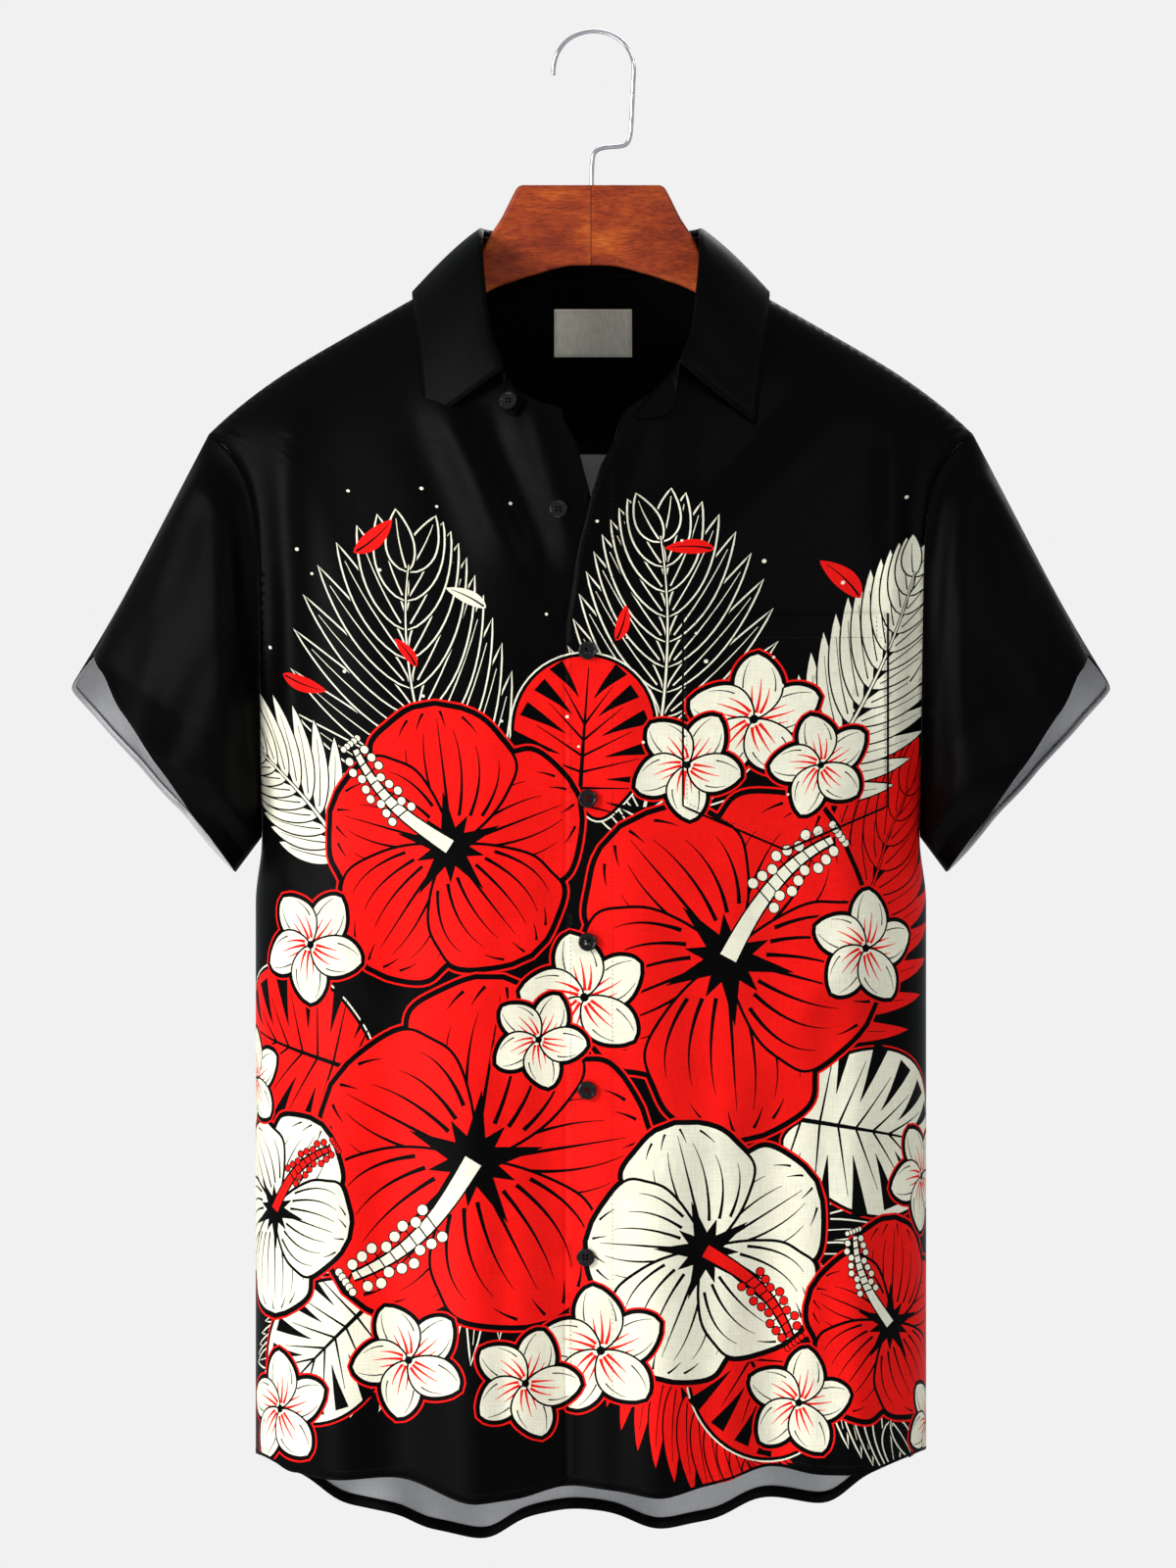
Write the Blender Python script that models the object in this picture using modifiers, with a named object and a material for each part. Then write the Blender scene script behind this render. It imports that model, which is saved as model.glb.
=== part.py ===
"""Short-sleeved button-front shirt with an open collar, hanging on a wooden hanger.

Sizes are in millimetres and become metres when a mesh is made. The origin is the
point where the hook rests on a rail. +X is to the right of someone who faces the
front, the front faces -Y and +Z is up.

Every cloth piece is a wall: a grid of points worked out on the shirt's surface,
and a second grid one cloth thickness further in. Pieces that meet at a seam share
the seam's points, moved half a seam gap apart.
"""

import math

import bmesh
import bpy
from mathutils import Vector

MM = 0.001

# Cloth
CLOTH = 1.2                  # one layer of shirt cloth
COLLAR_CLOTH = 1.5           # the turned and stitched collar leaf
SEAM_GAP = 0.3               # clear space between two pieces at a seam

# Body of the shirt
HALF_WIDTH = 205.5           # centre to side seam
FRONT_DEPTH = 88.0           # hanger plane to the front of the chest
BACK_DEPTH = 84.0            # hanger plane to the back
SECTION_POWER = 2.5          # 2 is an ellipse, more is squarer
RIDGE_POWER = 1.6            # roundness of the shoulders over the hanger
RIDGE_RUN = 260.0            # height over which the body reaches its full depth
SIDE_HEM_Z = -867.0          # hem at the side seams

# Shoulder line, seen from the front
SHOULDER_TOP_Z = -100.0      # where the straight part of the line would cross the centre
SHOULDER_SLOPE = 0.57
SHOULDER_X = 234.0           # shoulder point, top of the armhole
SHOULDER_ROUND_X = 150.0     # the line starts to round off here
SHOULDER_ROUND_DROP = 12.0
SHOULDER_ROUND_RUN = 85.0
NECK_RISE_X = 107.0          # the line lifts towards the neck from here in
NECK_RISE = 14.0
NECK_RISE_RUN = 50.0
NECK_X = 70.0                # neck point, end of the shoulder seam

# Armhole, a flattened ring
UNDERARM_Z = -492.0
ARMHOLE_X = 201.5
ARMHOLE_LEAN = 3.0           # the ring leans out a little towards the top
ARMHOLE_FLARE = 29.5         # and flares to the shoulder point
ARMHOLE_FLARE_POWER = 12
ARMHOLE_DEPTH = 40.0         # half of its size from front to back
ARMHOLE_EDGE_SHARE = 0.8     # most that the ring may take of the body's depth
UNDERARM_EASE = 40.0         # height over which the side reaches its full width

# How many strips the pieces are divided into
ARMHOLE_STEPS = 14
ARMHOLE_STEP_POWER = 1.15    # strips are narrower near the shoulder
YOKE_STEPS = 5
SIDE_STEPS = 13
SHOULDER_STEPS = 10
BACK_NECK_STEPS = 12
SLEEVE_STEPS = 9
COLUMN_SPREAD = (0.75, 4.0)  # how soon the columns take their spacing at the hem
SIDE_CROWDING = 0.72         # how much narrower the strips become at the side seams

# Yoke
YOKE_SEAM_Z = -257.0
YOKE_SEAM_DROP = 45.0
YOKE_SEAM_DROP_X = 215.0
FACING_CLOTH = 1.0
FACING_GAP = 0.6             # between the two layers of the yoke
FACING_TOP_ROW = (0.5, 2.0)  # row of the yoke where it starts, at the neck and the shoulder
FACING_NECK_X = 40.0

# Button closure
LAP_LIFT = 2.6               # the over front stands this far in front of the under front
LAP_EDGE_X = 16.0
LAP_FADE = 30.0

# Top of a front, from the corner of the lapel to the neck point; x counts towards the
# piece's own side
OVER_TOP = (
    # x, z
    (19.0, -234.0),
    (23.6, -229.0),
    (30.2, -224.4),
    (38.0, -219.5),
    (47.0, -210.0),
    (56.0, -199.0),
    (63.0, -184.0),
    (67.5, -168.0),
    (70.0, -150.0),
    (70.6, -139.5),
)
UNDER_TOP = (
    # x, z
    (17.7, -230.0),
    (22.3, -228.2),
    (30.6, -226.0),
    (38.8, -222.2),
    (47.5, -215.0),
    (56.0, -203.0),
    (63.0, -186.0),
    (67.5, -168.0),
    (70.0, -150.0),
    (70.6, -139.5),
)

# Back of the neckline, centre to neck point
BACK_NECK = (
    # x, z
    (0.0, -150.0),
    (25.0, -149.2),
    (48.0, -144.5),
    (62.0, -138.0),
    (NECK_X, -132.3),
)

# Front edges, x counted from the centre towards the piece's own side
OVER_EDGE = (
    # z, x
    (-234.0, 19.0),
    (-241.5, 15.8),
    (-250.0, 14.0),
    (-264.0, 6.2),
    (-281.0, 0.7),
    (-316.0, -8.0),
    (-364.0, -15.6),
    (-900.0, -15.6),
)
UNDER_EDGE = (
    # z, x
    (-230.0, 17.7),
    (-236.0, 16.8),
    (-247.0, 10.8),
    (-255.0, 7.6),
    (-283.0, 0.3),
    (-320.0, -8.0),
    (-378.0, -14.0),
    (-900.0, -14.0),
)

# Flutes at the hem: crests and hollows, and the height of the hem at each
FLUTE_TOP_Z = -540.0
FRONT_FLUTES = (
    # x, out, hem z
    (-205.5, 0.0, SIDE_HEM_Z),
    (-157.0, 5.0, -885.0),
    (-120.0, -7.0, -883.0),
    (-71.0, 11.0, -900.0),
    (-13.0, -9.0, -887.5),
    (42.0, 11.0, -896.5),
    (110.0, -9.0, -875.5),
    (163.0, 8.0, -882.5),
    (205.5, 0.0, SIDE_HEM_Z),
)
BACK_FLUTES = (
    # x, out, hem z
    (-205.5, 0.0, SIDE_HEM_Z),
    (-150.0, 6.0, -902.0),
    (-118.0, -4.0, -908.0),
    (-63.0, 11.0, -924.0),
    (-10.0, -9.0, -904.0),
    (42.0, 10.0, -918.0),
    (106.0, -9.0, -896.5),
    (146.0, 7.0, -902.0),
    (205.5, 0.0, SIDE_HEM_Z),
)

# Largest folds: ridges (out > 0) and troughs (out < 0) along a line
FRONT_FOLDS = (
    # start x, start z, end x, end z, out, half width
    (-84.0, -240.0, -52.0, -305.0, 4.0, 11.0),
    (-56.0, -250.0, -34.0, -305.0, -4.0, 11.0),
    (74.0, -262.0, 34.0, -345.0, 3.0, 13.0),
    (-188.0, -262.0, -184.0, -440.0, 5.0, 11.0),
    (184.0, -258.0, 188.0, -430.0, 5.0, 10.0),
    (150.0, -575.0, 70.0, -680.0, 3.0, 20.0),
    (-160.0, -530.0, -80.0, -650.0, 3.0, 20.0),
)
BACK_FOLDS = (
    # start x, start z, end x, end z, out, half width
    (-170.0, -330.0, -186.0, -470.0, 5.0, 12.0),
    (172.0, -330.0, 186.0, -470.0, 5.0, 12.0),
    (-120.0, -420.0, -150.0, -600.0, -4.0, 20.0),
    (110.0, -400.0, 140.0, -620.0, -4.0, 20.0),
)
FOLD_END = 25.0              # a fold fades out over this length
FOLD_EDGE = 16.0             # and towards an armhole or a side seam
FOLD_RIDGE = 18.0            # and towards the shoulder seam

# Sleeve opening: place along its long axis, from the underarm up, and how far it is set out
SLEEVE_UNDERARM = (217.0, -513.0)
SLEEVE_AXIS = (0.62, 0.785)  # x, z of the long axis of the opening
SLEEVE_REACH = 79.0          # half of its length
SLEEVE_DEPTH = 43.0          # half of its size from front to back
SLEEVE_OPENING = (
    # degrees from the top, negative at the back; set out
    (-180.0, 1.0),
    (-120.0, 4.0),
    (-90.0, 7.0),
    (-60.0, 9.5),
    (-28.0, 11.0),
    (0.0, -13.0),
    (30.0, -10.5),
    (60.0, -5.0),
    (90.0, -2.0),
    (120.0, 0.0),
    (180.0, 1.0),
)
SLEEVE_CREST = 8.0           # the front and back stand out past the armhole seam
SLEEVE_CREST_PLACE = 0.28    # as a share of the sleeve's length
SLEEVE_CREST_RUN = 0.3

# Collar, half of it from the centre back to the front: neck seam, fold line, outer edge
COLLAR_BACK = (
    # neck x, z, fold x, y, z, edge x, y, z
    (0.0, -150.0, 0.0, 44.0, -125.5, 0.0, 53.5, -166.0),
    (25.0, -149.2, 26.0, 41.5, -125.0, 32.0, 51.5, -166.5),
    (48.0, -144.5, 48.0, 31.0, -123.5, 66.0, 44.0, -167.0),
    (62.0, -138.0, 61.0, 16.5, -122.0, 97.0, 22.0, -163.0),
    (NECK_X, -132.3, 66.5, 0.0, -121.5, 109.5, 0.5, -157.5),
)
COLLAR_FRONT = (
    # fold x, y, z, edge x, out, z for each point of the neckline from the neck point down
    (66.8, -15.0, -126.0, 109.0, 4.4, -166.0),
    (66.8, -28.0, -137.0, 107.5, 2.6, -179.0),
    (65.0, -42.0, -158.0, 105.5, 2.6, -197.0),
    (61.5, -53.0, -184.0, 103.8, 2.6, -217.0),
)
OVER_LEAF_END = (55.0, -63.0, -202.0, 101.7, 2.6, -239.5)
UNDER_LEAF_END = (53.8, -63.0, -205.5, 101.7, 3.2, -239.5)
# Button tabs, the two ends of the stand lying on the fronts: fold side of the strip
OVER_TAB = (
    # neck side x, z, fold side x, z
    (46.8, -212.0, 53.0, -220.5),
    (40.0, -218.0, 49.0, -231.0),
    (33.0, -226.0, 40.5, -235.6),
    (26.6, -234.6, 31.0, -236.2),
)
UNDER_TAB = (
    # neck side x, z, fold side x, z
    (48.6, -215.0, 54.5, -221.0),
    (44.5, -219.5, 54.0, -231.5),
    (40.8, -222.8, 46.5, -234.5),
)
TAB_LIFT = 2.0
STAND_TOP_GAP = 2.4          # the stand ends this far under the fold
LEAF_START = 2.0             # and the leaf starts this far under it
LEAF_ROLL_RADIUS = 2.1       # outer radius of the fold
LEAF_ROLL_STEPS = 4
LEAF_FALL = (
    # share of the way down to the edge, bulge
    (0.3, 1.2),
    (0.65, 1.4),
    (1.0, 0.0),
)

# Pocket on the wearer's left
POCKET_LEFT_X = 57.0
POCKET_RIGHT_X = 181.0
POCKET_TOP_Z = -355.0
POCKET_CORNER_Z = -472.8
POCKET_TIP_Z = -499.2
POCKET_GAP = 1.0
POCKET_COLUMNS = 10
POCKET_ROWS = 9

# Label on the yoke facing
LABEL_CENTRE = (1.3, -182.1)  # x, z
LABEL_SIZE = (48.6, 29.4)     # width, height
LABEL_CLOTH = 0.8
LABEL_GAP = 0.5
LABEL_COLUMNS = 6
LABEL_ROWS = 4

# Buttons
BUTTON_RADIUS = 5.75
BUTTON_THICKNESS = 2.4
BUTTON_RIM = 0.9
BUTTON_DISH = 0.6
BUTTON_SIDES = 16
BUTTON_HOLE_RADIUS = 0.8
BUTTON_HOLE_OFFSET = 1.45
BUTTON_GAP = 0.5
BUTTONS = (
    # x, z, lift over the body's surface
    (-49.0, -226.5, 4.8),
    (-19.5, -291.6, 0.0),
    (-2.0, -378.0, LAP_LIFT),
    (-2.0, -468.6, LAP_LIFT),
    (-2.0, -556.2, LAP_LIFT),
    (-2.0, -646.8, LAP_LIFT),
    (-2.0, -748.8, LAP_LIFT + 1.0),
)

# Hanger
BAR_THICKNESS = 12.0
BAR_ROUNDING = 5.0
BAR_CLEARANCE = 4.2          # under the shoulder line
BAR_TOP = (
    # x, z of the upper edge, from the centre joint to where the shirt covers it
    (42.0, -92.4),
    (45.5, -94.5),
    (50.5, -104.0),
    (54.5, -112.0),
    (59.0, -119.0),
    (63.5, -126.0),
    (66.3, -132.0),
    (69.0, -137.0),
)
BAR_UNDER = (
    # x, z of the lower edge
    (0.0, -141.6),
    (15.0, -142.2),
    (30.0, -146.0),
    (46.0, -151.0),
    (65.0, -159.0),
    (105.0, -186.0),
    (150.0, -213.0),
    (190.0, -234.0),
    (212.0, -247.0),
)
BAR_COVERED_X = (72.0, 90.0, 110.0, 135.0, 160.0, 185.0, 205.0, 217.0)
BAR_END = ((224.0, -241.0), (221.0, -248.0))
BORE_RADIUS = 1.8
BORE_DEPTH = 14.0
BORE_SIDES = 12

# Hook
WIRE_RADIUS = 1.5
HOOK_CENTRE_X = 1.5
HOOK_RADIUS = 24.5
HOOK_END_ANGLE = 184.0       # degrees from the right-hand side, over the top
HOOK_ARC_STEPS = 14
HOOK_STEM = (
    # x, z from the arc down to the bore
    (25.4, -38.0),
    (24.4, -52.0),
    (22.4, -61.0),
    (18.6, -66.0),
    (13.0, -68.2),
    (7.6, -69.6),
    (3.2, -72.4),
    (0.8, -77.5),
    (0.4, -84.0),
    (0.4, -92.0),
    (0.4, -105.0),
)


def mix(start, end, share):
    return start + (end - start) * share


def smoothstep(share):
    share = min(max(share, 0.0), 1.0)
    return share * share * (3.0 - 2.0 * share)


def between_rows(rows, place):
    """The two rows of a table on both sides of a place, and the share from one to the other."""
    if rows[0][0] > rows[-1][0]:
        rows = rows[::-1]
    place = min(max(place, rows[0][0]), rows[-1][0])
    for low, high in zip(rows, rows[1:]):
        if place <= high[0]:
            return low, high, (place - low[0]) / (high[0] - low[0])
    return rows[-1], rows[-1], 0.0


def straight(rows, place, column=1):
    low, high, share = between_rows(rows, place)
    return mix(low[column], high[column], share)


def rolling(rows, place, column=1):
    low, high, share = between_rows(rows, place)
    return mix(low[column], high[column], smoothstep(share))


def shoulder_z(x):
    """Height of the shoulder line."""
    x = abs(x)
    rounding = max(0.0, (x - SHOULDER_ROUND_X) / SHOULDER_ROUND_RUN) ** 3
    rise = max(0.0, (NECK_RISE_X - max(x, 66.0)) / NECK_RISE_RUN) ** 2
    straight_z = SHOULDER_TOP_Z - SHOULDER_SLOPE * x
    return straight_z - SHOULDER_ROUND_DROP * rounding + NECK_RISE * rise


ARMHOLE_TOP_Z = shoulder_z(SHOULDER_X)


def ridge_share(below):
    """Share of the full depth that the body has at a distance below the shoulder line."""
    left = 1.0 - min(max(below / RIDGE_RUN, 0.0), 1.0)
    return (1.0 - left ** RIDGE_POWER) ** (1.0 / RIDGE_POWER)


def side_edge(z):
    """Where a body piece ends at its side: x, and the distance from the hanger plane."""
    if z < UNDERARM_Z:
        eased = smoothstep((UNDERARM_Z - z) / UNDERARM_EASE)
        return mix(ARMHOLE_X, HALF_WIDTH, eased), 0.0
    lift = min((z - UNDERARM_Z) / (ARMHOLE_TOP_Z - UNDERARM_Z), 1.0)
    x = ARMHOLE_X + ARMHOLE_LEAN * lift + ARMHOLE_FLARE * lift ** ARMHOLE_FLARE_POWER
    return x, ARMHOLE_DEPTH * 2.0 * math.sqrt(lift * (1.0 - lift))


def section_width(z, depth):
    """Half width of the body's section, so that the section passes through the armhole."""
    z = min(z, ARMHOLE_TOP_Z)
    x, edge = side_edge(z)
    full = depth * ridge_share(shoulder_z(x) - z)
    share = min(edge / full, ARMHOLE_EDGE_SHARE) if full > 1.0 else ARMHOLE_EDGE_SHARE
    return x / (1.0 - share ** SECTION_POWER) ** (1.0 / SECTION_POWER)


def fold_height(folds, x, z):
    """How far the folds move the surface out at a place."""
    total = 0.0
    place = Vector((x, z))
    for start_x, start_z, end_x, end_z, out, half_width in folds:
        start = Vector((start_x, start_z))
        along = Vector((end_x, end_z)) - start
        share = (place - start).dot(along) / along.length_squared
        past_end = max(-share, share - 1.0, 0.0) * along.length
        across = (place - start - along * share).length
        total += out * math.exp(-(across / half_width) ** 2 - (past_end / FOLD_END) ** 2)
    to_side = smoothstep((side_edge(z)[0] - abs(x)) / FOLD_EDGE)
    return total * to_side * smoothstep((shoulder_z(x) - z) / FOLD_RIDGE)


def body_depth(x, z, face):
    """Distance of the surface from the hanger plane; face is -1 for front, 1 for back."""
    depth, flutes, folds = BACK_DEPTH, BACK_FLUTES, BACK_FOLDS
    if face < 0:
        depth, flutes, folds = FRONT_DEPTH, FRONT_FLUTES, FRONT_FOLDS
    across = min(abs(x) / section_width(z, depth), 1.0)
    section = (1.0 - across ** SECTION_POWER) ** (1.0 / SECTION_POWER)
    plain = depth * ridge_share(shoulder_z(x) - z) * section
    flute = rolling(flutes, x) * smoothstep((FLUTE_TOP_Z - z) / (FLUTE_TOP_Z - SIDE_HEM_Z))
    return plain + flute + fold_height(folds, x, z)


def on_body(x, z, face, lift=0.0):
    return Vector((x, face * (body_depth(x, z, face) + lift), z))


def lap_lift(x):
    """The over front's lift in front of the under front."""
    return LAP_LIFT * (1.0 - smoothstep((x - LAP_EDGE_X) / LAP_FADE))


def armhole_ring(step):
    """Height, x and depth of a point of the armhole, from the shoulder point down."""
    angle = math.pi * (step / ARMHOLE_STEPS) ** ARMHOLE_STEP_POWER
    z = mix(UNDERARM_Z, ARMHOLE_TOP_Z, 0.5 + 0.5 * math.cos(angle))
    x, depth = side_edge(z)
    return z, x, depth, angle


def side_heights():
    """Heights of the rows at the side of a body piece, shoulder point to hem."""
    heights = [armhole_ring(step)[0] for step in range(ARMHOLE_STEPS + 1)]
    for step in range(1, SIDE_STEPS + 1):
        heights.append(mix(UNDERARM_Z, SIDE_HEM_Z, step / SIDE_STEPS))
    return heights


def seam_normal(angle, side, face, underarm_lean):
    """Direction in which the walls end at the armhole seam."""
    height = math.cos(angle)
    lean = 0.7 * max(height, 0.0) + underarm_lean * max(-height, 0.0)
    return Vector((side * lean, face * math.sin(angle), height)).normalized()


def ridge_normal(x):
    step = 0.5
    slope = (shoulder_z(abs(x) - step) - shoulder_z(abs(x) + step)) / (2.0 * step)
    return Vector((math.copysign(slope, x), 0.0, 1.0)).normalized()


def grid_normals(rows, closed, flip):
    """Normals of a grid of points, from each point's neighbours."""
    last_row, last_column = len(rows) - 1, len(rows[0]) - 1
    normals = []
    for i, row in enumerate(rows):
        line = []
        for j in range(len(row)):
            if closed:
                across = row[(j + 1) % len(row)] - row[j - 1]
            else:
                across = row[min(j + 1, last_column)] - row[max(j - 1, 0)]
            down = rows[min(i + 1, last_row)][j] - rows[max(i - 1, 0)][j]
            normal = down.cross(across) if flip else across.cross(down)
            line.append(normal.normalized())
        normals.append(line)
    return normals


def lifted(rows, normals, distance):
    return [[point + normal * distance for point, normal in zip(row, line)]
            for row, line in zip(rows, normals)]


def finish(name, color, roughness, metallic=0.0):
    material = bpy.data.materials.new(name)
    material.use_nodes = True
    shader = material.node_tree.nodes["Principled BSDF"]
    shader.inputs["Base Color"].default_value = (*color, 1.0)
    shader.inputs["Roughness"].default_value = roughness
    shader.inputs["Metallic"].default_value = metallic
    return material


def add_object(name, mesh, material, collection):
    thing = bpy.data.objects.new(name, mesh)
    collection.objects.link(thing)
    mesh.materials.clear()
    mesh.materials.append(material)
    return thing


def wall(name, rows, normals, thickness, material, collection, closed=False):
    """A closed cloth wall: the outer grid, the inner grid and the rims between them."""
    inner = lifted(rows, normals, -thickness)
    height, width = len(rows), len(rows[0])
    corners = [point * MM for grid in (rows, inner) for row in grid for point in row]

    def corner(layer, i, j):
        return layer * height * width + i * width + j % width

    faces = []
    columns = width if closed else width - 1
    for i in range(height - 1):
        for j in range(columns):
            for layer in (0, 1):
                a, b = corner(layer, i, j), corner(layer, i, j + 1)
                c, d = corner(layer, i + 1, j + 1), corner(layer, i + 1, j)
                faces.extend(((a, b, c), (a, c, d)))
    borders = [[(0, j) for j in range(columns + 1)], [(height - 1, j) for j in range(columns, -1, -1)]]
    if not closed:
        borders.append([(i, width - 1) for i in range(height)])
        borders.append([(i, 0) for i in range(height - 1, -1, -1)])
    for border in borders:
        for (i, j), (k, m) in zip(border, border[1:]):
            a, b = corner(0, i, j), corner(0, k, m)
            c, d = corner(1, k, m), corner(1, i, j)
            faces.extend(((a, b, c), (a, c, d)))
    mesh = bpy.data.meshes.new(name)
    mesh.from_pydata(corners, [], faces)
    form = bmesh.new()
    form.from_mesh(mesh)
    bmesh.ops.recalc_face_normals(form, faces=form.faces)
    form.to_mesh(mesh)
    form.free()
    mesh.shade_smooth()
    mesh.set_sharp_from_angle(angle=math.radians(50.0))
    return add_object(name, mesh, material, collection)


def column_share(top_share, hem_share, down):
    """A column's place across a piece: its spacing at the top turns into that at the hem."""
    soon, late = COLUMN_SPREAD
    return mix(top_share, hem_share, 1.0 - (1.0 - down ** soon) ** late)


def section_share(turn):
    """Place across the hem for a quarter turn's share, narrow strips at the side seam."""
    return mix(turn, math.sin(turn * math.pi / 2.0), SIDE_CROWDING)


def front_panel(name, side, neckline, edge, lift, material, collection):
    """One front. side is 1 for the viewer's right; x is worked out towards that side."""
    heights = side_heights()
    corner_z, corner_x = edge[0]
    top = list(neckline)
    for step in range(SHOULDER_STEPS + 1):
        x = mix(NECK_X, SHOULDER_X, step / SHOULDER_STEPS)
        top.append((x, shoulder_z(x)))
    last = len(top) - 1
    hem_x = edge[-1][1]
    shoulder_from = last - SHOULDER_STEPS
    rows, normals = [], []
    for row_z in heights:
        down = (heights[0] - row_z) / (heights[0] - heights[-1])
        left_x = straight(edge, mix(corner_z, rolling(FRONT_FLUTES, side * hem_x, 2), down))
        right_x = side_edge(row_z)[0]
        side_drop = row_z - mix(shoulder_z(right_x), SIDE_HEM_Z, down)
        row = []
        for j, (top_x, top_z) in enumerate(top):
            bottom_x = mix(hem_x, HALF_WIDTH, section_share(j / last))
            share = column_share((top_x - corner_x) / (SHOULDER_X - corner_x),
                                 (bottom_x - hem_x) / (HALF_WIDTH - hem_x), down)
            x = mix(left_x, right_x, share)
            start_z = shoulder_z(x) if j >= shoulder_from else top_z
            z = mix(start_z, rolling(FRONT_FLUTES, side * bottom_x, 2), down)
            z += side_drop * share ** 4
            row.append(on_body(side * x, z, -1, lift(x)))
        rows.append(row)
    for j in range(shoulder_from, last + 1):
        rows[0][j].y = -SEAM_GAP / 2.0
    for i, row in enumerate(rows):
        x, depth = side_edge(heights[i])
        inset = SEAM_GAP / 2.0 if i <= ARMHOLE_STEPS else 0.0
        row[last] = Vector((side * (x - inset), -max(depth, SEAM_GAP / 2.0), heights[i]))
    normals = grid_normals(rows, False, side > 0)
    for j in range(shoulder_from, last + 1):
        normals[0][j] = ridge_normal(rows[0][j].x)
    for step in range(ARMHOLE_STEPS + 1):
        normals[step][last] = seam_normal(armhole_ring(step)[3], side, -1, 0.9)
    for i in range(ARMHOLE_STEPS + 1, len(rows)):
        normals[i][last] = Vector((side, 0.0, 0.0))
    return wall(name, rows, normals, CLOTH, material, collection)


def yoke_seam_z(x):
    return YOKE_SEAM_Z - YOKE_SEAM_DROP * (x / YOKE_SEAM_DROP_X) ** 2


def back_top():
    """Top of the yoke: left shoulder, back neck, right shoulder."""
    half = []
    for step in range(1, BACK_NECK_STEPS // 2 + 1):
        x = NECK_X * math.sin(step / (BACK_NECK_STEPS // 2) * math.pi / 2.0)
        half.append((x, straight(BACK_NECK, x)))
    for step in range(1, SHOULDER_STEPS + 1):
        x = mix(NECK_X, SHOULDER_X, step / SHOULDER_STEPS)
        half.append((x, shoulder_z(x)))
    return [(-x, z) for x, z in half[::-1]] + [(0.0, BACK_NECK[0][1])] + half


def back_columns(down, row_z):
    """x of each column of the yoke and back at a row."""
    top = back_top()
    half = len(top) // 2
    columns = []
    for j, (top_x, _) in enumerate(top):
        turn = abs(j - half) / half
        share = column_share(abs(top_x) / SHOULDER_X, section_share(turn), down)
        columns.append(math.copysign(share * side_edge(row_z)[0], j - half))
    return columns


def back_rows(first, last, heights):
    """Grid of the yoke (first rows) or of the back (the others)."""
    top = back_top()
    rows = []
    for i in range(first, last + 1):
        down = (heights[0] - heights[i]) / (heights[0] - heights[-1])
        row = []
        for j, x in enumerate(back_columns(down, heights[i])):
            if first == 0:
                share = (heights[0] - heights[i]) / (heights[0] - heights[last])
                on_shoulder = abs(top[j][0]) > NECK_X - SEAM_GAP
                start_z = shoulder_z(x) if on_shoulder else top[j][1]
                z = mix(start_z, yoke_seam_z(x), share)
            else:
                share = (heights[first] - heights[i]) / (heights[first] - heights[last])
                z = mix(yoke_seam_z(x), rolling(BACK_FLUTES, x, 2), share)
            row.append(on_body(x, z, 1))
        rows.append(row)
    return rows


def end_at_armholes(rows, first, heights):
    """Moves the two ends of each row of the yoke or back onto the armhole or side seam."""
    for i, row in enumerate(rows):
        z = heights[first + i]
        x, depth = side_edge(z)
        inset = SEAM_GAP / 2.0 if first + i <= ARMHOLE_STEPS else 0.0
        for place, side in ((0, -1), (-1, 1)):
            row[place] = Vector((side * (x - inset), max(depth, SEAM_GAP / 2.0), z))


def end_normals(normals, first):
    for i, line in enumerate(normals):
        for place, side in ((0, -1), (-1, 1)):
            if first + i <= ARMHOLE_STEPS:
                line[place] = seam_normal(armhole_ring(first + i)[3], side, 1, 0.9)
            else:
                line[place] = Vector((side, 0.0, 0.0))


def yoke_grid():
    heights = side_heights()
    rows = back_rows(0, YOKE_STEPS, heights)
    end_at_armholes(rows, 0, heights)
    for point in rows[0]:
        if abs(point.x) > NECK_X - SEAM_GAP:
            point.y = SEAM_GAP / 2.0
    normals = grid_normals(rows, False, False)
    end_normals(normals, 0)
    for j, point in enumerate(rows[0]):
        if abs(point.x) > NECK_X - SEAM_GAP:
            normals[0][j] = ridge_normal(point.x)
    for point in rows[-1]:
        point.z += SEAM_GAP / 2.0
    return rows, normals


def yoke(material, collection):
    rows, normals = yoke_grid()
    return wall("yoke", rows, normals, CLOTH, material, collection)


def back(material, collection):
    heights = side_heights()
    rows = back_rows(YOKE_STEPS, len(heights) - 1, heights)
    end_at_armholes(rows, YOKE_STEPS, heights)
    normals = grid_normals(rows, False, False)
    end_normals(normals, YOKE_STEPS)
    for point in rows[0]:
        point.z -= SEAM_GAP / 2.0
    return wall("back", rows, normals, CLOTH, material, collection)


def along_column(grid, j, place):
    """A point or normal between two rows of a grid."""
    row = min(int(place), len(grid) - 2)
    return grid[row][j].lerp(grid[row + 1][j], place - row)


def yoke_facing(material, collection):
    """Inner layer of the yoke, made from the yoke's points moved in."""
    outer, outer_normals = yoke_grid()
    rows, normals = [], []
    for i in range(YOKE_STEPS + 1):
        row, line = [], []
        for j, top in enumerate(outer[0]):
            start = mix(*FACING_TOP_ROW, smoothstep((abs(top.x) - FACING_NECK_X)
                                                    / (NECK_X - FACING_NECK_X)))
            place = i if i >= 3 else mix(start, 3.0, i / 3.0)
            row.append(along_column(outer, j, place))
            line.append(along_column(outer_normals, j, place).normalized())
        rows.append(row[1:-1])
        normals.append(line[1:-1])
    rows = lifted(rows, normals, -(CLOTH + FACING_GAP))
    return wall("yoke_facing", rows, normals, FACING_CLOTH, material, collection)


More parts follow.
